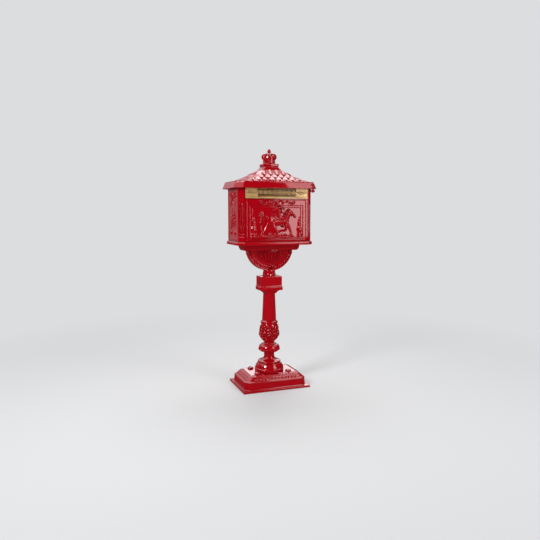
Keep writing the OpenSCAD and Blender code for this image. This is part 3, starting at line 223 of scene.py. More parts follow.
def aged_brass(settings, name, tone):
    """Cast brass, polished on its high places and brown in its recesses."""
    material, shader = fresh_material(name)
    metal = [v * t for v, t in zip(settings.brass, tone)]
    form = place_group(material, "raised_and_recessed", Width=0.035, Reach=0.003, Depth=1.3)
    cloud = place_group(material, "cloudy_patches", Scale=26.0, Contrast=2.2).outputs["Mask"]
    body = mixed_colour(material, cloud, [v * 0.82 for v in metal], metal)
    patina = mixed_colour(material, form.outputs["Recessed"], body, settings.patina)
    ripple = {"Peel_Scale": 900.0, "Peel_Height": 0.12, "Wave_Scale": 40.0, "Wave_Height": 0.5}
    return shaded(
        material,
        shader,
        Base_Color=mixed_colour(material, form.outputs["Raised"], patina, [min(v * 1.15, 1.0) for v in metal]),
        Metallic=1.0,
        Roughness=ranged(material, cloud, 0.54, 0.42),
        Coat_Weight=0.35,
        Coat_Roughness=0.09,
        Normal=bumped(material, 0.3, 0.001, **ripple),
    )


def plated_steel(name, tint, rough_low, rough_high):
    """Turned or plated steel with faint cloudy patches."""
    material, shader = fresh_material(name)
    cloud = place_group(material, "cloudy_patches", Scale=60.0, Contrast=1.8).outputs["Mask"]
    return shaded(
        material,
        shader,
        Base_Color=mixed_colour(material, cloud, [v * 0.8 for v in tint], tint),
        Metallic=1.0,
        Roughness=ranged(material, cloud, rough_high, rough_low),
    )


# ---- mesh helpers

# How far below a face its relief is cut off before the cut is moved to the face
SHAVE_DEPTH = 0.4
# A rope's end: share of its width that it runs on, and shares of its width and height that are left there
END_REACH, END_WIDTH, END_HEIGHT = 0.32, 0.55, 0.62


def finished(obj):
    """Applies the modifiers of a piece to its mesh."""
    graph = bpy.context.evaluated_depsgraph_get()
    mesh = bpy.data.meshes.new_from_object(obj.evaluated_get(graph))
    old = obj.data
    obj.modifiers.clear()
    obj.data = mesh
    bpy.data.meshes.remove(old)
    mesh.name = obj.name


def merged_copy(node):
    """A copy of a CAD node's mesh with its loose triangles merged."""
    bm = bmesh.new()
    bm.from_mesh(frame["nodes"][node].data)
    bmesh.ops.remove_doubles(bm, verts=bm.verts, dist=1e-6)
    return bm


def as_object(bm, name):
    mesh = bpy.data.meshes.new(name)
    bm.to_mesh(mesh)
    bm.free()
    obj = bpy.data.objects.new(name, mesh)
    bpy.context.collection.objects.link(obj)
    return obj


def sheared_copy(node, axis, face):
    """A copy of a CAD node's mesh with the relief in front of a face plane shaved off."""
    bm = merged_copy(node)
    outward = Vector((0.0, 0.0, 0.0))
    outward[axis] = math.copysign(1.0, face)
    bmesh.ops.bisect_plane(
        bm,
        geom=[*bm.verts, *bm.edges, *bm.faces],
        dist=1e-6,
        plane_co=outward * (abs(face) - SHAVE_DEPTH) * MM,
        plane_no=outward,
        clear_outer=True,
    )
    rim = [e for e in bm.edges if e.is_boundary]
    for v in {v for e in rim for v in e.verts}:
        v.co[axis] = face * MM
    bmesh.ops.triangle_fill(bm, edges=rim, use_beauty=True, normal=outward)
    return bm


def through(points, step):
    """Points along a smooth line through a few given ones, each with its share of the way."""
    last = len(points) - 1
    line = []
    for i in range(last):
        a, b = Vector(points[max(i - 1, 0)]), Vector(points[i])
        c, d = Vector(points[i + 1]), Vector(points[min(i + 2, last)])
        count = max(2, round((c - b).length / step))
        for k in range(count + (i == last - 1)):
            t = k / count
            spot = 0.5 * (2 * b + (c - a) * t + (2 * a - 5 * b + 4 * c - d) * t**2 + (3 * b - a - 3 * c + d) * t**3)
            line.append((spot, i + t))
    return line


def between(values, at):
    """The value at a place between the entries of a list, or the one value for the whole way."""
    if isinstance(values, (int, float)):
        return values
    i = min(int(at), len(values) - 2)
    return values[i] + (values[i + 1] - values[i]) * (at - i)


def add_form(bm, form):
    """Adds a form, modelled in a small mesh of its own, to a piece."""
    mesh = bpy.data.meshes.new("form")
    form.to_mesh(mesh)
    form.free()
    bm.from_mesh(mesh)
    bpy.data.meshes.remove(mesh)


class Relief:
    """Soft raised forms, all in millimetres, on a face that a place function bends them to."""

    def __init__(self, bm, place, sink=1.5, sides=10):
        self.bm, self.place, self.sink, self.sides = bm, place, sink, sides

    def bend(self, verts, centre, along, across):
        for v in verts:
            x, y, h = v.co
            u = centre[0] + along[0] * x + across[0] * y
            w = centre[1] + along[1] * x + across[1] * y
            v.co = Vector(self.place(u, w, h)) * MM

    def ring(self, part, spot, along, reach, width, height):
        across = Vector((-along.y, along.x))
        made = bmesh.ops.create_circle(part, segments=self.sides, radius=1.0)["verts"]
        for v in made:
            x, y, _ = v.co
            v.co = (reach, x * width / 2, y * height if y > 0 else y * self.sink)
        self.bend(made, spot, along, across)
        return made

    def rope(self, points, widths, heights, step=3.0):
        """A rounded strand through a few points."""
        part = bmesh.new()
        line = through(points, step)
        rings = []
        for i, (spot, at) in enumerate(line):
            along = (line[min(i + 1, len(line) - 1)][0] - line[max(i - 1, 0)][0]).normalized()
            width, height = between(widths, at), between(heights, at)
            if i == 0:
                rings.append(
                    self.ring(part, spot, along, -width * END_REACH, width * END_WIDTH, height * END_HEIGHT)
                )
            rings.append(self.ring(part, spot, along, 0.0, width, height))
            if i == len(line) - 1:
                rings.append(self.ring(part, spot, along, width * END_REACH, width * END_WIDTH, height * END_HEIGHT))
        loops = [list(dict.fromkeys(e for v in verts for e in v.link_edges)) for verts in rings]
        for one, two in zip(loops, loops[1:]):
            bmesh.ops.bridge_loops(part, edges=one + two)
        for verts in (rings[0], rings[-1]):
            bmesh.ops.contextual_create(part, geom=verts)
        add_form(self.bm, part)

    def lump(self, u, w, a, b, height, turn=0.0):
        """An oval boss with half axes a and b."""
        part = bmesh.new()
        made = bmesh.ops.create_uvsphere(part, u_segments=14, v_segments=8, radius=1.0)["verts"]
        for v in made:
            x, y, z = v.co
            v.co = (x * a, y * b, z * height if z > 0 else z * self.sink)
        along = Vector((math.cos(math.radians(turn)), math.sin(math.radians(turn))))
        self.bend(made, (u, w), along, Vector((-along.y, along.x)))
        add_form(self.bm, part)

    def petal(self, u, w, length, width, height, turn):
        """A leaf that leaves a point in a direction and ends in a tip."""
        way = Vector((math.cos(math.radians(turn)), math.sin(math.radians(turn))))
        spots = [Vector((u, w)) + way * length * t for t in (0.1, 0.45, 0.95)]
        self.rope(spots, [width * 0.55, width, width * 0.25], [height * 0.8, height, height * 0.55])

    def turned(self, u, w, profile, flat):
        """A baluster that stands on the face, spun from half widths and heights and pressed flat."""
        part = bmesh.new()
        made = [part.verts.new((r, 0.0, z)) for r, z in profile]
        edges = [part.edges.new(pair) for pair in zip(made, made[1:])]
        bmesh.ops.spin(
            part, geom=made + edges, cent=(0, 0, 0), axis=(0, 0, 1), angle=math.tau, steps=16, use_merge=True
        )
        bmesh.ops.remove_doubles(part, verts=part.verts, dist=1e-4)
        for v in part.verts:
            x, y, z = v.co
            v.co = Vector(self.place(u + x, w + z, -y * flat if y < 0 else -y * 0.1)) * MM
        add_form(self.bm, part)

    def fillet(self, half_w, low, high, width, height):
        """A raised rectangular line around the middle of the face."""
        corners = [(-half_w, low), (half_w, low), (half_w, high), (-half_w, high)]
        for one, two in zip(corners, corners[1:] + corners[:1]):
            span = (Vector(two) - Vector(one)).length
            self.rope([one, two], width, height, step=span / 2)


def cast_skin(obj, voxel, passes, keep):
    """Fuses a piece's solids into one casting with soft edges."""
    skin = obj.modifiers.new("skin", "REMESH")
    skin.mode = "VOXEL"
    skin.voxel_size = voxel * MM
    soften = obj.modifiers.new("soften", "SMOOTH")
    soften.factor = 0.5
    soften.iterations = passes
    thin = obj.modifiers.new("thin", "DECIMATE")
    thin.ratio = keep
    finished(obj)
    obj.data.shade_smooth()
    weigh = obj.modifiers.new("weigh", "WEIGHTED_NORMAL")
    weigh.weight = 50


def join_body(obj, material, body, slot, *nodes):
    """Puts a piece on a body, in place of CAD nodes if any are named."""
    obj.data.materials.clear()
    obj.data.materials.append(material)
    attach(obj, body)
    if nodes:
        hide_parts(*nodes)


# ---- screws, nuts and the tie rod

# Radius over a nut's corners and the radius of its bore
BORES = {11.0: 6.05, 9.2: 5.05, 11.8: 8.55}


def solids(node):
    """Each turned solid of a CAD node: the middle of its first end, its axis, its length and its end radii in mm."""
    bm = merged_copy(node)
    left = dict.fromkeys(bm.verts)
    while left:
        solid, front = [], [left.popitem()[0]]
        while front:
            v = front.pop()
            solid.append(v.co / MM)
            for near in [e.other_vert(v) for e in v.link_edges]:
                if near in left:
                    del left[near]
                    front.append(near)
        low = Vector([min(p[i] for p in solid) for i in range(3)])
        high = Vector([max(p[i] for p in solid) for i in range(3)])
        size = high - low
        # A nut's axis is its shortest side, a screw's or a rod's its longest one
        pick = min if "nut" in node else max
        axis = size[:].index(pick(size))
        middle = (low + high) / 2
        ends = []
        for level in (low[axis], high[axis]):
            near = [p - middle for p in solid if abs(p[axis] - level) < 0.05]
            ends.append(max(math.hypot(*(p[i] for i in range(3) if i != axis)) for p in near))
        way = Vector([float(i == axis) for i in range(3)])
        start = middle - way * size[axis] / 2
        if ends[1] > ends[0] + 0.1:
            start, way, ends = start + way * size[axis], -way, ends[::-1]
        yield start, way, size[axis], ends
    bm.free()


def six_sided(flat):
    """The radius of a hexagon at an angle, from half its width over the flats."""
    return lambda turn: flat / math.cos((turn + math.pi / 6) % (math.pi / 3) - math.pi / 6)


def lathe(bm, rows, start, way, steps=24):
    """A body turned along an axis from rows of radius and height; a radius can change with the angle."""
    part = bmesh.new()
    last = len(rows) - 1
    bmesh.ops.create_grid(part, x_segments=steps, y_segments=last, size=0.5)
    side = way.orthogonal().normalized()
    other = way.cross(side)
    for v in part.verts:
        turn = math.tau * (v.co.x + 0.5)
        radius, height = rows[round((v.co.y + 0.5) * last)]
        if callable(radius):
            radius = radius(turn)
        v.co = (start + way * height + (side * math.cos(turn) + other * math.sin(turn)) * radius) * MM
    bmesh.ops.remove_doubles(part, verts=part.verts, dist=1e-7)
    bmesh.ops.holes_fill(part, edges=[e for e in part.edges if e.is_boundary])
    bmesh.ops.recalc_face_normals(part, faces=part.faces)
    add_form(bm, part)


def thread(radius, low, high, pitch):
    """Rows of a screw thread whose crests reach the given radius."""
    count = round((high - low) / pitch * 4)
    rows = []
    for i in range(count + 1):
        z = low + (high - low) * i / count
        rows.append((lambda turn, z=z: radius - 0.3 * pitch * (1 + math.cos(math.tau * z / pitch - turn)), z))
    return rows


def screw(bm, start, way, length, ends):
    """A cap screw with a hexagon socket and a rounded rim."""
    head, shank = ends
    deep = min(length * 0.3, 4.0)
    socket = six_sided(head * 0.42)
    rows = [
        (0.01, deep * 0.7), (socket, deep * 0.7), (socket, 0.3), (lambda turn: socket(turn) + 0.25, 0.0),
        (head - 0.5, 0.0), (head - 0.14, 0.15), (head, 0.5), (head, deep), (shank, deep),
    ]
    rows += thread(shank, deep + 0.5, length - 0.6, max(0.8, shank * 0.3))
    rows.append((shank * 0.7, length))
    lathe(bm, rows, start, way)


def nut(bm, start, way, length, ends):
    """A hexagon nut with turned corners and a chamfered bore."""
    corner = ends[0]
    flat = corner * math.cos(math.pi / 6)
    hexagon = six_sided(flat)
    bore = BORES[min(BORES, key=lambda r: abs(r - corner))]
    rows = [
        (bore, 0.5), (bore + 0.5, 0.0), (flat - 0.4, 0.0), (lambda turn: min(hexagon(turn), flat + 0.3), 0.4),
        (hexagon, 1.4), (hexagon, length - 1.4), (lambda turn: min(hexagon(turn), flat + 0.3), length - 0.4),
        (flat - 0.4, length), (bore + 0.5, length), (bore, length - 0.5), (bore, 0.5),
    ]
    lathe(bm, rows, start, way, steps=72)


def stud(bm, start, way, length, ends):
    """A rod with a thread on both ends and a plain middle."""
    radius = ends[0]
    rows = [(radius - 0.9, 0.0), *thread(radius, 0.7, 38.0, 1.75), (radius - 0.05, 39.0)]
    rows += [(radius - 0.05, length - 39.0), *thread(radius, length - 38.0, length - 0.7, 1.75), (radius - 0.9, length)]
    lathe(bm, rows, start, way, steps=28)


# ---- settings


def colour_setting(name, text, default):
    return bpy.props.FloatVectorProperty(name=name, description=text, subtype="COLOR", size=3, default=default)


def number_setting(name, text, default, **limits):
    return bpy.props.FloatProperty(name=name, description=text, default=default, **limits)


class PostBoxSettings(bpy.types.PropertyGroup):
    enamel: colour_setting("Enamel", "Colour of the enamel", (0.47, 0.0006, 0.0065))
    gloss: number_setting("Enamel roughness", "Roughness under the enamel's clear top", 0.34, min=0.05, max=0.9)
    brass: colour_setting("Brass", "Colour of the letter flap's brass", (0.95, 0.60, 0.27))
    patina: colour_setting("Patina", "Colour in the recesses of the brass", (0.10, 0.055, 0.02))


class StageSettings(bpy.types.PropertyGroup):
    lens: number_setting("Lens", "Focal length of the camera", 37.36, unit="CAMERA")
    backdrop: colour_setting("Backdrop", "Colour of the background", (0.715, 0.722, 0.735))
    floor_colour: colour_setting("Floor", "Colour of the floor", (0.86, 0.865, 0.87))
    fade_start: number_setting("Fade start", "Where the floor begins to fade", 0.5, min=0.1, unit="LENGTH")
    fade_end: number_setting("Fade end", "Where the floor has faded", 2.4, min=0.2, unit="LENGTH")
    fill: number_setting("Fill", "Strength of the light from all round", 0.37, min=0.0)
    dark_floor: number_setting("Dark floor", "Share of its light that reflections see", 0.07, min=0.0, max=1.0)
    overhead: number_setting("Overhead", "Strength of the bright ceiling that reflections see", 5.8, min=0.0)
    dark_room: number_setting("Dark room", "Share of the backdrop that is in front", 0.03, min=0.0, max=1.0)


MATERIALS = {}


def material_for(slot):
    if slot not in MATERIALS:
        settings = bpy.context.scene.post_box
        MATERIALS[slot] = {
            "red_enamel": lambda: red_enamel(settings),
            "aged_brass": lambda: aged_brass(settings, "aged_brass", (1.0, 1.0, 1.0)),
            # Painted shade: brass darkened to a few tenths of its colour, for the sheet behind the flap's lozenges
            "shade_painted_brass": lambda: aged_brass(settings, "shade_painted_brass", (0.15, 0.11, 0.08)),
            "steel": lambda: plated_steel("steel", (0.56, 0.57, 0.58), 0.28, 0.42),
            "zinc_plate": lambda: plated_steel("zinc_plate", (0.68, 0.68, 0.64), 0.22, 0.36),
        }[slot]()
    return MATERIALS[slot]


# ---- relief of the front panel

BOX_FOOT = 731.0
FRONT = 106.0
SIDE = 185.0


def front_face(u, w, h):
    return (u, -FRONT - h, BOX_FOOT + w)


def horse(relief):
    rope, lump = relief.rope, relief.lump
    # Far legs first, low in the relief
    rope([(46, 86), (50, 68), (42, 55), (29, 53), (18, 52)], [19, 13, 9.5, 7.5, 6.5], [5.5, 5, 4.6, 4.2, 4])
    rope([(19, 52), (12, 48)], [7, 9], [4.4, 4.2])
    rope([(-38, 84), (-50, 68), (-59, 53), (-67, 41), (-75, 31)], [20, 13, 9, 7.5, 7], [3.6, 3.4, 3.2, 3, 3])
    rope([(-74, 32), (-80, 26)], [7, 10], [3.4, 3.2])
    # Barrel, rump and chest
    rope([(-32, 98), (-10, 96), (16, 96), (42, 103)], [38, 38, 36, 34], [6.2, 6.6, 6.6, 6.4])
    lump(-30, 99, 20, 20, 6.4, -20)
    lump(45, 103, 17, 19, 7.0, 20)
    lump(36, 96, 11, 16, 7.8, -15)
    lump(-20, 90, 15, 18, 6.6, 30)
    # Near legs
    rope([(50, 92), (61, 74), (69, 56), (75, 38), (75, 30)], [19, 14, 9, 7, 7.5], [7.4, 6.8, 6, 5.4, 5.2])
    lump(69, 56, 5.5, 6, 6.6)
    rope([(75, 31), (73, 23)], [8, 11], [5.8, 5.6])
    rope([(-22, 88), (-12, 70), (-3, 55), (3, 41), (4, 31)], [26, 17, 11, 7.5, 7.5], [6.4, 6, 5.6, 5.2, 5])
    lump(-4, 55, 6.5, 6, 6.8)
    rope([(4, 32), (6, 24)], [8, 11], [6, 5.8])
    # Neck, head and ears
    rope([(44, 106), (53, 119), (61, 133), (66, 142)], [34, 27, 20, 16], [7.4, 7.2, 7, 7])
    rope([(62, 146), (73, 140), (84, 130), (95, 120)], [16, 16, 12, 9], [7.4, 7.2, 6.6, 6])
    lump(71, 134, 8, 8, 7.4)
    lump(93, 119, 5, 4.5, 6.6, -45)
    lump(77, 140, 2.2, 1.6, 8.4, -40)
    rope([(61, 150), (59, 158)], [5.5, 2], [7.4, 5])
    rope([(67, 149), (67, 156)], [4.5, 1.8], [6.4, 4.6])
    # Mane, forelock and tail
    for i in range(8):
        x, y = 42 + 2.9 * i, 120 + 4.2 * i
        rope([(x, y), (x - 8, y + 2), (x - 14, y - 3)], [5.2, 4.4, 1.6], [8.6, 7.6, 4.5], step=4)
    rope([(64, 150), (72, 149), (78, 144)], [4, 3.4, 1.5], [8.2, 8, 6.8])
    for i in range(5):
        rope(
            [(-44, 112 - i), (-56, 119 - 3 * i), (-70, 116 - 5 * i), (-84 + 2 * i, 105 - 7 * i)],
            [5.5, 6, 4.6, 1.6], [6.4, 5.6, 4.6, 3], step=4,
        )
    # Saddle cloth, girth, breast strap, bridle and reins
    rope([(-6, 113), (8, 108), (22, 113)], [9, 16, 9], [8.2, 8.6, 8.2])
    rope([(-8, 104), (8, 99), (24, 104)], 2.2, 8.8)
    rope([(10, 102), (9, 88), (11, 79)], 2.6, [8.4, 8, 6.6])
    rope([(24, 108), (40, 104), (56, 100)], 2.4, [8.4, 8.8, 7.4])
    rope([(70, 147), (75, 136), (69, 128)], 2.0, 8.2)
    rope([(86, 132), (85, 122)], 2.0, 7.4)
    rope([(43, 138), (62, 128), (84, 124)], 1.8, [9, 8.6, 7.6])


def rider(relief):
    rope, lump = relief.rope, relief.lump
    # Cape blown back
    for i in range(4):
        rope(
            [(8, 153 - 3 * i), (-6, 150 - 2.5 * i), (-18, 152 - 4 * i), (-30 + 3 * i, 147 - 5 * i)],
            [8, 8, 6, 2], [7.6, 6.8, 5.6, 3.6], step=4,
        )
    rope([(13, 116), (10, 130), (9, 142), (13, 154)], [22, 18, 19, 15], [8.8, 8.8, 8.8, 8.2])
    rope([(5, 123), (19, 122)], 2.4, 9.6)
    # Head and hat, with no features but a brow and a cheek
    lump(15, 163, 6, 7, 8.8)
    lump(17.5, 161, 3, 3.4, 9.4)
    rope([(2, 170), (14, 169), (27, 171)], [3.2, 5, 2.4], 8.8)
    lump(14, 173, 8, 4, 8.4)
    rope([(8, 175), (0, 178), (-7, 174)], [4.4, 4, 1.4], [7, 6, 4])
    # Post horn and the arm that holds it
    rope([(19, 160), (28, 158), (34, 157)], [2.4, 3.2, 6], [9.2, 9, 8.6])
    lump(36, 156.5, 4.2, 6.2, 8.2, -8)
    rope([(14, 151), (24, 148), (27, 156)], [8, 6.4, 4.6], [9.4, 10, 9.8])
    # Near arm with the reins, leg, boot and stirrup
    rope([(12, 149), (25, 140), (41, 138)], [9.5, 8, 5.4], [10.2, 10.2, 9.6])
    lump(43, 138, 3.6, 3.2, 10)
    rope([(13, 118), (28, 111), (32, 99), (28, 87), (28, 78)], [15, 13.5, 11, 8.5, 7.5], [9.8, 10.2, 9.8, 9.2, 8.8])
    rope([(26, 91), (34, 92)], 2.4, 10)
    rope([(26, 79), (36, 74)], [7.5, 4.4], [9, 8.4])
    rope([(24, 84), (22, 74), (36, 70)], 1.8, 8.4)


def ground_and_tree(relief):
    rope, lump = relief.rope, relief.lump
    rope([(-84, 25), (-44, 22), (0, 26), (44, 22), (84, 25)], [8, 10, 9, 10, 8], [3.2, 3.8, 3.6, 3.8, 3.2])
    for i in range(17):
        u = -80 + 10 * i
        sway = 9 * math.sin(2.3 * i)
        tall = 34 + 7 * math.sin(1.7 * i + 1)
        rope([(u, 24), (u + sway * 0.3, tall - 5), (u + sway, tall)], [6.5, 5.5, 2.2], [4.4, 4.6, 3], step=4)
        lump(u + 4, 27 + 2 * math.sin(3.1 * i), 4.2, 3.2, 4.6, 25 * math.sin(i))
    for u, w, r in ((-34, 34, 7), (-10, 30, 6), (22, 31, 7), (48, 31, 6)):
        for k in range(5):
            relief.petal(u, w, r, r * 0.62, 4.8, 90 + 72 * k)
        lump(u, w, r * 0.32, r * 0.32, 6)
    rope([(-80, 28), (-78, 52), (-84, 74), (-81, 96)], [6.5, 5, 4, 2.5], [4, 4, 3.6, 3])
    for i in range(18):
        a = 2.4 * i
        r = 3.7 * math.sqrt(i)
        lump(-80 + 0.8 * r * math.cos(a), 118 + 1.8 * r * math.sin(a), 4.8, 3.4, 3.6 + 0.9 * math.sin(5 * i), 40 * i)


def scroll(relief):
    """Leafy scrolls on both sides of a palmette, under the letter slot."""
    rope = relief.rope
    middle = 4.0
    for side in (-1, 1):
        def swung(points):
            return [(middle + side * u, w) for u, w in points]

        rope(swung([(5, 188), (16, 195), (27, 191), (30, 183), (24, 180), (20, 184), (23, 187)]),
             [4.2, 4.4, 4, 3.6, 3, 2.6, 3.4], [3.4, 3.6, 3.4, 3.2, 3.2, 3.4, 3.8], step=2.5)
        rope(swung([(26, 195), (40, 187), (54, 191), (68, 188), (78, 180), (87, 184), (84, 192), (77, 190), (79, 186)]),
             [3, 4.6, 4.4, 4.6, 4.2, 4, 3.4, 2.8, 3.4], [3, 3.6, 3.6, 3.6, 3.4, 3.4, 3.4, 3.6, 4], step=2.5)
        for u, w, turn, length in (
            (40, 188, 62, 11), (44, 189, 95, 9), (52, 190, 120, 8), (62, 189, -120, 12), (68, 187, -98, 11),
            (73, 184, -70, 8), (34, 190, -110, 9), (18, 194, 50, 7), (84, 186, 20, 9), (86, 190, 50, 8),
        ):
            turn = turn if side > 0 else 180 - turn
            relief.petal(middle + side * u, w, length, 4.4, 3.6, turn)
    for k in range(7):
        relief.petal(middle, 184, 13 - 1.1 * abs(k - 3), 4.4, 4, 90 + 26 * (k - 3))
    relief.lump(middle, 184, 4, 3.4, 5)


def panel_baluster(relief, u):
    """A side ornament: a stepped plinth, a turned body with husks and a thin spire."""
    profile = [
        (0, 22), (15, 22), (15, 27), (13, 28.5), (13.5, 36), (12, 39), (9.5, 42), (11.5, 47), (13.2, 55), (12.4, 64),
        (9, 72), (7.6, 76), (9.6, 79), (9.6, 82), (7, 84), (8.6, 89), (8, 95), (5, 100), (3.6, 102), (5.4, 104.5),
        (5.8, 108), (4.4, 112), (2.2, 114), (2.4, 117), (0, 121),
    ]
    relief.turned(u, 0, profile, 0.5)
    for k in (-1, 0, 1):
        off = abs(k)
        relief.rope(
            [(u + 6.4 * k, 44), (u + 8.4 * k, 56), (u + 5.4 * k, 72)], [3.4, 4.6, 2.4],
            [5.4 - off, 8.2 - 2.4 * off, 5.2 - off],
        )
        relief.rope(
            [(u + 3.6 * k, 85), (u + 4.6 * k, 91), (u + 2.4 * k, 98)], [2.4, 3.2, 1.6],
            [4.2 - off, 5.4 - 1.4 * off, 3.4 - 0.6 * off],
        )
    for k in range(5):
        relief.lump(u - 10 + 5 * k, 32, 2.2, 3, 6.8 - 0.9 * abs(k - 2))


def front_relief(bm):
    relief = Relief(bm, front_face)
    relief.fillet(151, 8, 200, 2.4, 1.4)
    relief.fillet(136, 14, 173, 3.2, 2.4)
    relief.fillet(124, 20.5, 164, 2.2, 1.6)
    horse(relief)
    rider(relief)
    ground_and_tree(relief)
    scroll(relief)
    for u in (-117, 117):
        panel_baluster(relief, u)


# ---- relief of the side panels


def bow(relief):
    """A ribbon bow with a rosette on its knot."""
    rope, lump, petal = relief.rope, relief.lump, relief.petal
    for side in (-1, 1):
        loop = [(4, 218), (17, 231), (34, 233), (43, 222), (33, 212), (18, 214), (4, 217)]
        rope([(side * u, w) for u, w in loop], [5, 8, 9, 8, 7, 6, 5], [4, 4.4, 5, 4.6, 3.8, 3.6, 4])
        rope([(side * 20, 225), (side * 31, 225), (side * 37, 220)], [3, 4, 2], [4.2, 4.8, 3])
        rope([(side * 6, 208), (side * 17, 200), (side * 24, 188), (side * 36, 183), (side * 40, 172)],
             [5, 7, 6, 6, 2.4], [4, 4.2, 3.8, 3.8, 2.6])
        rope([(side * 18, 203), (side * 27, 194), (side * 38, 192)], [4, 5, 2], [3.4, 3.6, 2.4])
    for length, height, turn in ((20, 5.6, 0), (13, 7.4, 22.5)):
        for k in range(8):
            petal(0, 217, length, length * 0.46, height, turn + 45 * k)
    lump(0, 217, 5, 5, 9.4)
    for k in range(6):
        lump(3.4 * math.cos(k * math.pi / 3), 217 + 3.4 * math.sin(k * math.pi / 3), 1.6, 1.6, 10)


def husks(relief):
    """Bell husks that hang in a row from the bow."""
    relief.rope([(0, 200), (0, 142)], 2.6, 3, step=8)
    for i in range(4):
        w = 193 - 13 * i
        size = 1.0 - 0.1 * i
        for turn in (-122, -90, -58):
            relief.petal(0, w, 15 * size, 6 * size, 5.4 if turn == -90 else 4.2, turn)
        relief.lump(0, w, 3 * size, 2.6 * size, 5.6)


# Half widths and heights of a tassel
TASSEL = [
    (0, 33), (8.6, 33), (9.4, 36), (7.8, 45), (5.6, 53), (4, 57), (5.6, 59), (5.6, 62), (3.4, 64), (3, 67), (0, 68),
]


def bunch(relief):
    """Fruit and flowers on a spray of leaves, with two swags that end in tassels."""
    rope, lump, petal = relief.rope, relief.lump, relief.petal
    for k in range(13):
        turn = 90 + (k - 6) * 26
        length = 40 - 7 * abs(math.sin(math.radians(turn))) + 3 * (k % 2)
        way = (math.cos(math.radians(turn)), math.sin(math.radians(turn)))
        root = (way[0] * 10, 108 + way[1] * 10)
        middle = (way[0] * length * 0.6 - way[1] * 2, 108 + way[1] * length * 0.6 + way[0] * 2)
        tip = (way[0] * length, 108 + way[1] * length)
        rope([root, middle, tip], [7, 11.5, 2.6], [3.4, 4.4, 2.6])
        rope([root, middle, tip], [1.4, 2, 0.9], [4.6, 5.6, 3.6])
        for side in (-1, 1):
            petal(*middle, 9, 4, 3.8, turn + side * 48)
    for u, w, r, h in (
        (0, 106, 12.5, 9), (-17, 115, 9.5, 7.6), (16, 117, 9, 7.4), (-25, 97, 7.6, 6.6), (24, 99, 8, 6.8),
        (-11, 89, 7.6, 6.6), (12, 88, 7, 6.4), (0, 129, 8, 6.8), (0, 76, 6, 5.6),
    ):
        lump(u, w, r, r, h)
        lump(u + r * 0.2, w + r * 0.25, r * 0.16, r * 0.16, h + 0.7)
    for i in range(10):
        a = 2.4 * i
        r = 2.2 * math.sqrt(i)
        lump(-8 + r * math.cos(a), 143 + 1.4 * r * math.sin(a), 2.5, 2.5, 5 + 0.4 * (i % 3))
    for u, w, r in ((14, 139, 8), (-20, 132, 6.5), (28, 84, 6), (-27, 82, 6.5)):
        for k in range(6):
            petal(u, w, r, r * 0.62, 5.4, 60 * k)
        lump(u, w, r * 0.3, r * 0.3, 6.8)
    for side in (-1, 1):
        rope([(side * 10, 78), (side * 22, 74), (side * 31, 70), (side * 31, 65)], [4, 5.6, 4.4, 4], [4, 4.6, 4.4, 4])
        for i in range(4):
            petal(side * (12 + 5 * i), 77 - 1.6 * i, 8, 3.8, 4.6, -90 + side * 22)
        relief.turned(side * 31, 0, TASSEL, 0.62)
        for k in range(-3, 4):
            ends = [(side * 31 + 2.5 * k, 34), (side * 31 + 1.3 * k, 55)]
            rope(ends, [1.9, 1.2], [6.6 - 0.5 * k * k, 4.2 - 0.25 * k * k], step=6)


def side_relief(bm, side):
    relief = Relief(bm, lambda u, w, h: (side * (SIDE + h), u, BOX_FOOT + w))
    relief.fillet(76, 11, 246, 2.8, 1.9)
    bow(relief)
    husks(relief)
    bunch(relief)


# ---- relief of the column and the bracket

# Height and radius of the urn's smooth body
URN = [(222, 26), (229, 30), (237, 36.8), (248, 43.6), (258, 46.8), (269, 46.4), (285, 44.8), (303, 42.2), (312, 40.2)]
NECK = [(556, 34), (559, 33), (564, 30.5), (571, 28.8), (577, 28.6), (582, 29.4)]


def around(side, turn):
    """Bends relief round a turned body given by its heights and radii, from an angle measured from the front."""

    def place(u, w, h):
        i = 0
        while i < len(side) - 2 and w > side[i + 1][0]:
            i += 1
        (z0, r0), (z1, r1) = side[i], side[i + 1]
        r = r0 + (r1 - r0) * min(max((w - z0) / (z1 - z0), 0.0), 1.0)
        a = math.radians(turn) + u / max(r0, r1)
        return ((r + h) * math.sin(a), -(r + h) * math.cos(a), w)

    return place


def urn_leaf(relief):
    """One acanthus leaf: a midrib, veins that end in curled lobes, and a heart of scrolls."""
    rope, lump = relief.rope, relief.lump
    rope([(0, 226), (0, 250), (0, 276), (0, 302)], [5, 4.2, 3.4, 2.4], [4.6, 5.6, 6, 5.4], step=4)
    rope([(-5, 300), (0, 304), (5, 300)], [5, 7, 5], [6.2, 8, 6.2], step=3)
    for side in (-1, 1):
        for w, reach, rise in ((231, 13, 7), (243, 18, 9), (257, 20.5, 10), (271, 19, 11), (285, 13, 10)):
            rope([(side * 1.5, w), (side * reach * 0.55, w + rise * 0.35), (side * reach, w + rise)],
                 [2.6, 3.4, 3], [4.8, 5.2, 4.6], step=3)
            lump(side * reach, w + rise, 3.2, 2.6, 6, side * 35)
            lump(side * (reach - 3.2), w + rise - 5, 2.6, 2.2, 4.8, side * 35)
        rope([(side * 3, 246), (side * 9, 252), (side * 11, 262), (side * 7, 271), (side * 3.4, 267), (side * 5, 262)],
             [2.6, 3.4, 3.4, 3, 2.4, 2.6], [6, 6.8, 7, 6.8, 6.4, 7], step=2.5)


def column_relief(bm):
    for k in range(6):
        urn_leaf(Relief(bm, around(URN, 60 * k + 30), sink=1.0, sides=8))
        dart = Relief(bm, around(URN, 60 * k), sink=1.0, sides=8)
        dart.rope([(0, 225), (0, 242), (0, 258)], [4, 5, 2], [2.4, 3.2, 2], step=4)
        dart.rope([(0, 280), (0, 292), (0, 303)], [2.4, 6, 6.5], [2, 3.4, 4], step=4)
        dart.lump(0, 273, 3.2, 3.2, 4.4)


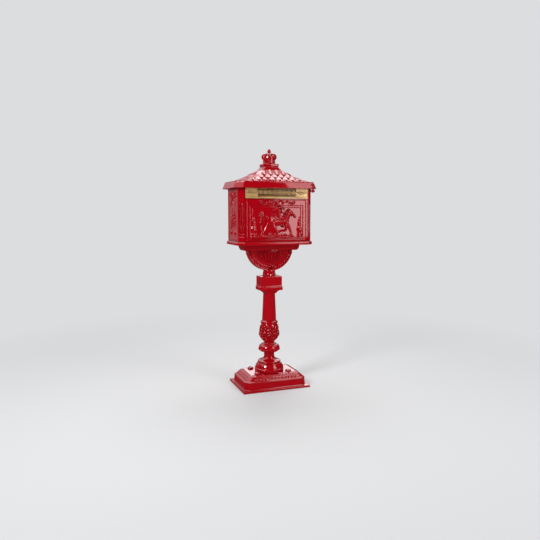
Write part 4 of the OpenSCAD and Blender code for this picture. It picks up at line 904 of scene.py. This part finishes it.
def spiral(relief, u, w, outer, side, width, height):
    points = []
    for i in range(15):
        a = math.radians(80 + 48 * i)
        r = outer * (1 - i / 17)
        points.append((u + side * r * math.cos(a), w + r * math.sin(a)))
    relief.rope(points, [width * (1 - 0.035 * i) for i in range(15)], height, step=2.5)
    relief.lump(u, w, width * 0.9, width * 0.9, height * 1.5)


def bracket_relief(bm):
    for back in (1, -1):
        relief = Relief(bm, lambda u, w, h: (back * u, -back * (20 + h), w), sides=8)
        for side in (-1, 1):
            spiral(relief, side * 104.5, 672, 9.6, side, 3.6, 4.4)
        arc = [(97 * math.sin(math.radians(a)), 700 - 97 * math.cos(math.radians(a))) for a in range(-68, 69, 4)]
        relief.rope(arc, 2.2, 1.8, step=6)
        for k in range(-3, 4):
            length = 23 - 2.4 * abs(k)
            relief.petal(2.4 * k, 606, length, 6.4, 11 - 1.1 * abs(k), -90 + 24 * k)
            way = math.radians(24 * k)
            tip = (2.4 * k + length * 0.8 * math.sin(way), 606 - length * 0.8 * math.cos(way))
            relief.rope([(2.4 * k, 606), tip], [1.6, 1.0], [12 - 1.1 * abs(k), 9 - abs(k)], step=8)
        relief.lump(0, 607, 6, 4.5, 14)
    for k in range(8):
        leaf = Relief(bm, around(NECK, 45 * k), sink=1.0, sides=8)
        leaf.rope([(0, 559), (0, 568), (0, 578)], [9, 8, 2.6], [1.8, 3, 3.4], step=3)
        leaf.rope([(0, 559), (0, 578)], [1.6, 1.2], [3.4, 4.6], step=6)
        gap = Relief(bm, around(NECK, 45 * k + 22.5), sink=1.0, sides=8)
        gap.lump(0, 566, 2.2, 2.2, 3.4)


# ---- tiles of the roof

# Half width, half depth, canted corner and height of the slope where each row of tiles begins
SLOPE = [
    (202.4, 123.9, 32.6, 1011.4), (173.3, 108.1, 28.1, 1016.0), (144.2, 92.3, 23.5, 1025.4),
    (115.2, 76.6, 19.0, 1038.2), (86.1, 60.8, 14.5, 1053.8), (57.0, 45.0, 10.0, 1072.0),
]
TILE_W = 34.0


def tile(bm, middle, low, high, turn, end):
    """One barrel tile with a round foot, as a closed solid, cut off where the hip begins."""
    fall, drop = low[1] - high[1], low[3] - high[3]
    length = math.hypot(fall, drop)
    normal = (-drop / length, fall / length)
    limits = (high[0] - high[2] - 4, low[0] - low[2] - 4)
    if abs(middle) - TILE_W / 2 > sum(limits) / 2:
        return
    part = bmesh.new()
    made = bmesh.ops.create_grid(part, x_segments=10, y_segments=7, size=0.5)["verts"]
    part.normal_update()
    faces = list(part.faces)
    lower = bmesh.ops.extrude_face_region(part, geom=faces, use_keep_orig=True)["geom"]
    lower = {v for v in lower if isinstance(v, bmesh.types.BMVert)}
    for v in part.verts:
        x, y, _ = v.co
        foot = min(1 + 0.28 * TILE_W * max(math.cos(math.pi * x), 0.0) ** 0.8 / length, end)
        share = foot - (y + 0.5) * (foot + 0.1)
        rise = -2.5 if v in lower else 0.6 + 2.6 * share + 4.0 * math.sqrt(max(1 - (2.1 * x) ** 2, 0.0))
        limit = limits[0] + (limits[1] - limits[0]) * share
        u = max(-limit, min(limit, middle + x * TILE_W * 0.97))
        v.co = Vector((u, -(high[1] + fall * share + normal[0] * rise), high[3] + drop * share + normal[1] * rise)) * MM
    bmesh.ops.rotate(part, verts=part.verts, cent=(0, 0, 0), matrix=Matrix.Rotation(math.radians(turn), 3, "Z"))
    bmesh.ops.recalc_face_normals(part, faces=part.faces)
    add_form(bm, part)


def roof_relief(bm):
    for turn in (0, 90, 180, 270):
        levels = [(d, w, c, z) if turn % 180 else (w, d, c, z) for w, d, c, z in SLOPE]
        for i, (low, high) in enumerate(zip(levels, levels[1:])):
            reach = math.ceil(low[0] / TILE_W) + 1
            for k in range(-reach, reach):
                tile(bm, (k + 0.5 + 0.5 * (i % 2)) * TILE_W, low, high, turn, 2.0 if i else 0.95)


# ---- ornament of the letter flap

FLAP = 110.6
DOOR = 110.3
FLAP_MIDDLE = 966.0


def flap_relief(bm):
    """Beads, a rope border and veined leaves round the lozenges."""
    relief = Relief(bm, lambda u, w, h: (u, -FLAP - h, FLAP_MIDDLE + w), sink=0.8, sides=8)
    for w in (-18.5, 16.5):
        for i in range(49):
            u = -96 + 4 * i
            relief.rope([(u - 1.6, w - 0.8), (u + 1.6, w + 0.8)], 1.9, 1.5, step=4)
    for u in (-98, 98):
        for i in range(9):
            relief.rope([(u - 0.8, -17 + 4 * i), (u + 0.8, -14 + 4 * i)], 1.9, 1.5, step=4)
    for i in range(8):
        u = 24 * (i - 3.5)
        relief.lump(u, 0, 3, 3.6, 2.8)
        for turn in (0, 90, 180, 270):
            relief.petal(u, 0, 5.4, 2.2, 2.2, turn)
    for i in range(9):
        u = 24 * (i - 4)
        for side in (-1, 1):
            relief.rope([(u, side * 1.5), (u, side * 6)], [2.6, 1.4], [1.8, 1.4], step=3)
    for side in (-1, 1):
        relief.rope([(side * 110, 0), (side * 128, 0), (side * 144, 0)], [2.2, 1.8, 1.0], [3.2, 3.4, 2.2], step=6)
        for i in range(5):
            for up in (-1, 1):
                u = 114 + 5.2 * i
                relief.rope([(side * u, 0), (side * (u + 5), up * (5.4 - 0.7 * i))], [1.5, 0.9], [3.0, 2.0], step=3)
        relief.lump(side * 105, 0, 3.2, 3.2, 2.6)
        relief.lump(side * 150, 0, 2.6, 2.6, 2.2)


def flap_field():
    """The dark field behind the lozenges, painted shade on a thin sheet with soft corners."""
    bm = bmesh.new()
    bmesh.ops.create_cube(bm, size=1.0)
    for v in bm.verts:
        v.co = Vector((v.co.x * 193, -FLAP + 0.1 + v.co.y * 0.7, FLAP_MIDDLE - 1 + v.co.z * 32)) * MM
    along_y = [e for e in bm.edges if (e.verts[0].co - e.verts[1].co).xz.length < 1e-6]
    bmesh.ops.bevel(bm, geom=along_y, offset=3 * MM, segments=5, profile=0.5, affect="EDGES")
    return as_object(bm, "letter_flap_painted_shade")


# ---- relief of the rear door


def rear_door_relief(bm):
    """A double border, corner leaves and a rosette on the outside of the retrieval door."""
    lows = [min(v.co[i] for v in bm.verts) / MM for i in (0, 2)]
    highs = [max(v.co[i] for v in bm.verts) / MM for i in (0, 2)]
    middle = [(a + b) / 2 for a, b in zip(lows, highs)]
    relief = Relief(bm, lambda u, w, h: (middle[0] - u, DOOR + h, middle[1] + w), sink=0.8)
    wide, tall = (highs[0] - lows[0]) / 2 - 26, (highs[1] - lows[1]) / 2 - 12
    relief.fillet(wide, -tall, tall, 3.2, 1.9)
    relief.fillet(wide - 7, 7 - tall, tall - 7, 1.8, 1.3)
    for side in (-1, 1):
        for up in (-1, 1):
            for turn, length in ((12, 24), (33, 20), (57, 20), (78, 24)):
                aim = turn if side * up > 0 else 180 - turn
                relief.petal(side * (wide - 13), up * (tall - 13), length, 6.5, 2.1, aim + 180 * (up > 0))
            relief.lump(side * (wide - 13), up * (tall - 13), 4, 4, 2.3)
    for k in range(12):
        relief.petal(0, 0, 30 if k % 2 else 22, 7, 2.0 if k % 2 else 2.3, 30 * k)
    relief.lump(0, 0, 7, 7, 2.6)


# ---- pieces

# Castings without finer relief: voxel in mm, smoothing passes, share of the faces kept
CASTINGS = {
    "base": (1.4, 3, 0.3),
    "anchor_caps": (0.8, 2, 0.5),
    "upper_column": (1.2, 3, 0.4),
    "floor_plate": (1.5, 2, 0.3),
    **{f"{end}_{side}_post": (0.65, 1, 0.3) for end in ("front", "rear") for side in ("left", "right")},
    "rear_panel": (1.3, 1, 0.3),
    "crown_finial": (0.6, 1, 0.35),
}


def cast(node, bm, voxel, keep, passes=1, slot="red_enamel"):
    """Fuses a copy of a CAD node, with what was added to it, and lets it stand for the node."""
    piece = as_object(bm, node + "_casting")
    cast_skin(piece, voxel, passes, keep)
    join_body(piece, material_for(slot), BODIES.get(node, BOX), slot, node)


def carved(node, carve, voxel, keep):
    """A copy of a CAD node with finer relief on it, cast as one body."""
    bm = merged_copy(node)
    carve(bm)
    cast(node, bm, voxel, keep)


def carved_panel(node, axis, face, carve):
    """A panel whose plain relief is shaved off and carved anew."""
    bm = sheared_copy(node, axis, face)
    carve(bm)
    cast(node, bm, 0.8, 0.3)


class POSTBOX_OT_front(bpy.types.Operator):
    """Model the front panel's relief and cast it with the panel"""

    bl_idname = "postbox.front"
    bl_label = "Front panel"

    def execute(self, context):
        carved_panel("front_panel", 1, -FRONT, front_relief)
        return {"FINISHED"}


class POSTBOX_OT_sides(bpy.types.Operator):
    """Model the side panels' relief and cast it with the panels"""

    bl_idname = "postbox.sides"
    bl_label = "Side panels"

    def execute(self, context):
        for side, node in ((1, "right_side_panel"), (-1, "left_side_panel")):
            carved_panel(node, 0, side * SIDE, lambda bm, side=side: side_relief(bm, side))
        return {"FINISHED"}


class POSTBOX_OT_pedestal(bpy.types.Operator):
    """Model the leaves of the column and the scrolls of the bracket and cast them with their bodies"""

    bl_idname = "postbox.pedestal"
    bl_label = "Column and bracket"

    def execute(self, context):
        carved("lower_column", column_relief, 0.9, 0.27)
        carved("bracket", bracket_relief, 1.0, 0.27)
        return {"FINISHED"}


class POSTBOX_OT_roof(bpy.types.Operator):
    """Model the roof's tiles and the rear door's border and cast them with their bodies"""

    bl_idname = "postbox.roof"
    bl_label = "Roof and rear door"

    def execute(self, context):
        carved("roof", roof_relief, 1.1, 0.2)
        carved("rear_door", rear_door_relief, 0.9, 0.25)
        return {"FINISHED"}


class POSTBOX_OT_castings(bpy.types.Operator):
    """Give the other castings soft edges and enamel"""

    bl_idname = "postbox.castings"
    bl_label = "Castings"

    def execute(self, context):
        for node, (voxel, passes, keep) in CASTINGS.items():
            cast(node, merged_copy(node), voxel, keep, passes)
        return {"FINISHED"}


class POSTBOX_OT_flap(bpy.types.Operator):
    """Cast the letter flap in brass"""

    bl_idname = "postbox.flap"
    bl_label = "Letter flap"

    def execute(self, context):
        bm = merged_copy("letter_flap")
        flap_relief(bm)
        cast("letter_flap", bm, 0.65, 0.35, slot="aged_brass")
        # A thin dark sheet of painted shade behind the flap's lozenges
        join_body(flap_field(), material_for("shade_painted_brass"), "flap", "aged_brass")
        return {"FINISHED"}


class POSTBOX_OT_fittings(bpy.types.Operator):
    """Cut threads on the screws and rod, turn the nuts, and finish the fittings that keep their CAD shape"""

    bl_idname = "postbox.fittings"
    bl_label = "Fittings"

    def execute(self, context):
        slots = {s["node"]: s["material_slot"] for s in frame["record"]["subparts"]}
        for make, names in (
            (screw, ("floor_screws", "panel_screws", "roof_screws", "cam_screw")),
            (nut, ("tie_rod_nuts", "finial_nut", "lock_nut")),
            (stud, ("tie_rod",)),
        ):
            for name in names:
                bm = bmesh.new()
                for solid in solids(name):
                    make(bm, *solid)
                piece = as_object(bm, name + "_threaded")
                piece.data.shade_smooth()
                piece.data.set_sharp_from_angle(angle=math.radians(38))
                join_body(piece, material_for(slots[name]), BODIES.get(name, BOX), slots[name], name)
        for name, node in frame["nodes"].items():
            if not node.hide_render:
                node.data.materials.clear()
                node.data.materials.append(material_for(slots[name]))
        return {"FINISHED"}


# ---- stage


def area_light(name, place, aim, width, height, power):
    data = bpy.data.lights.new(name, "AREA")
    data.shape = "RECTANGLE"
    data.size = width
    data.size_y = height
    data.energy = power
    obj = bpy.data.objects.new(name, data)
    bpy.context.collection.objects.link(obj)
    turn = (Vector(aim) - Vector(place)).to_track_quat("-Z", "Y")
    obj.matrix_world = Matrix.Translation(place) @ turn.to_matrix().to_4x4()
    return obj


def seen_by(tree, *kinds):
    """A mask that is 1 for rays of any of these kinds."""
    path = new_node(tree, "LightPath").outputs
    mask = path[f"Is {kinds[0]} Ray"]
    for kind in kinds[1:]:
        mask = computed(tree, "MAXIMUM", mask, path[f"Is {kind} Ray"])
    return mask


def mixed_shader(tree, share, one, two):
    node = tree.nodes.new("ShaderNodeMixShader")
    for socket, value in zip(node.inputs, (share, one, two)):
        tree.links.new(value, socket)
    return node.outputs[0]


def ramp(tree, value, start, end, low, high):
    node = new_node(tree, "MapRange", Value=value, From_Min=start, From_Max=end, To_Min=low, To_Max=high)
    node.interpolation_type = "SMOOTHSTEP"
    return node.outputs["Result"]


class POSTBOX_OT_stage(bpy.types.Operator):
    """Lay the floor, hang the lights and set the camera"""

    bl_idname = "postbox.stage"
    bl_label = "Stage"

    def execute(self, context):
        settings = context.scene.post_box_stage
        self.floor(settings)
        self.world(settings)
        area_light("key_light", (-2.6, -1.5, 2.2), (0, 0, 0.95), 0.9, 0.9, 50)
        area_light("right_softbox", (1.62, -2.55, 1.52), (0.35, 0, 1.22), 1.3, 1.8, 22)
        area_light("upper_softbox", (1.85, -2.1, 3.15), (0.2, 0, 1.0), 1.2, 0.9, 7)
        area_light("rear_softbox", (1.3, 2.7, 1.7), (0, 0, 0.8), 1.2, 1.6, 12)
        area_light("top_softbox", (0.35, 0.8, 2.9), (0, 0, 1.0), 1.5, 1.1, 20)
        camera = bpy.data.cameras.new("camera")
        camera.lens = settings.lens
        camera.sensor_width = 36.0
        obj = bpy.data.objects.new("camera", camera)
        obj.location = (-0.9633, -2.6213, 0.8706)
        obj.rotation_euler = (math.radians(90 - 5.86), 0.0, math.radians(-20.27))
        context.collection.objects.link(obj)
        context.scene.camera = obj
        context.scene.view_settings.view_transform = "Standard"
        return {"FINISHED"}

    def floor(self, settings):
        """A wide floor that fades into the background's colour, so no horizon shows."""
        bm = bmesh.new()
        bmesh.ops.create_circle(bm, cap_ends=True, segments=96, radius=14.0)
        floor = as_object(bm, "floor")
        material, shader = fresh_material("floor")
        tree = material.node_tree
        shader.inputs["Base Color"].default_value = (*settings.floor_colour, 1.0)
        shader.inputs["Roughness"].default_value = 0.85
        shader.inputs["Specular IOR Level"].default_value = 0.2
        reach = new_node(tree, "VectorMath")
        reach.operation = "LENGTH"
        tree.links.new(object_place(tree), reach.inputs[0])
        fade = ramp(tree, reach.outputs["Value"], settings.fade_start, settings.fade_end, 0.0, 1.0)
        share = computed(tree, "MULTIPLY", fade, seen_by(tree, "Camera", "Transmission"))
        glossy = seen_by(tree, "Glossy")
        dim = ranged(material, glossy, 1.0, settings.dark_floor)
        far = new_node(tree, "Emission", Color=(*settings.backdrop, 1.0), Strength=dim)
        mix = mixed_shader(tree, computed(tree, "MAXIMUM", share, glossy), shader.outputs[0], far.outputs[0])
        tree.links.new(mix, tree.nodes["Material Output"].inputs["Surface"])
        floor.data.materials.append(material)

    def world(self, settings):
        """Even light all round; reflections see a pale backdrop behind the part and a dark room in front of it."""
        world = bpy.data.worlds.new("studio")
        bpy.context.scene.world = world
        world.use_nodes = True
        tree = world.node_tree
        light = tree.nodes["Background"]
        light.inputs["Color"].default_value = (0.97, 0.98, 1.0, 1.0)
        light.inputs["Strength"].default_value = settings.fill
        split = new_node(tree, "SeparateXYZ", Vector=new_node(tree, "TexCoord").outputs["Generated"])
        depth, height = split.outputs["Y"], split.outputs["Z"]
        behind = computed(
            tree,
            "MULTIPLY",
            ramp(tree, depth, 0.35, 1.0, settings.dark_room, 1.0),
            ramp(tree, height, 0.05, 0.35, 1.0, 3.0),
        )
        above = computed(
            tree,
            "MULTIPLY",
            ramp(tree, height, 0.48, 0.62, 0.0, settings.overhead),
            ramp(tree, depth, -0.25, 0.0, 0.0, 1.0),
        )
        mirrored = new_node(
            tree, "Background", Color=(0.27, 0.27, 0.28, 1.0), Strength=computed(tree, "MAXIMUM", behind, above)
        )
        shown = new_node(tree, "Background", Color=(*settings.backdrop, 1.0))
        first = mixed_shader(tree, seen_by(tree, "Glossy"), light.outputs[0], mirrored.outputs[0])
        second = mixed_shader(tree, seen_by(tree, "Camera", "Transmission"), first, shown.outputs[0])
        tree.links.new(second, tree.nodes["World Output"].inputs["Surface"])


# ---- panel


OPERATORS = (
    POSTBOX_OT_front,
    POSTBOX_OT_sides,
    POSTBOX_OT_pedestal,
    POSTBOX_OT_roof,
    POSTBOX_OT_castings,
    POSTBOX_OT_flap,
    POSTBOX_OT_fittings,
    POSTBOX_OT_stage,
)


class POSTBOX_PT_panel(bpy.types.Panel):
    """The post box's operators"""

    bl_idname = "POSTBOX_PT_panel"
    bl_label = "Post Box"
    bl_space_type = "VIEW_3D"
    bl_region_type = "UI"
    bl_category = "Post Box"

    def draw(self, context):
        for settings in (context.scene.post_box, context.scene.post_box_stage):
            for name in settings.__annotations__:
                self.layout.prop(settings, name)
        for operator in OPERATORS:
            self.layout.operator(operator.bl_idname)


CLASSES = (PostBoxSettings, StageSettings, *OPERATORS, POSTBOX_PT_panel)


def register():
    for cls in CLASSES:
        bpy.utils.register_class(cls)
    bpy.types.Scene.post_box = bpy.props.PointerProperty(type=PostBoxSettings)
    bpy.types.Scene.post_box_stage = bpy.props.PointerProperty(type=StageSettings)


def unregister():
    del bpy.types.Scene.post_box_stage
    del bpy.types.Scene.post_box
    for cls in reversed(CLASSES):
        bpy.utils.unregister_class(cls)


def main():
    register()
    for operator in OPERATORS:
        group, name = operator.bl_idname.split(".")
        getattr(getattr(bpy.ops, group), name)()


if __name__ == "__main__":
    main()
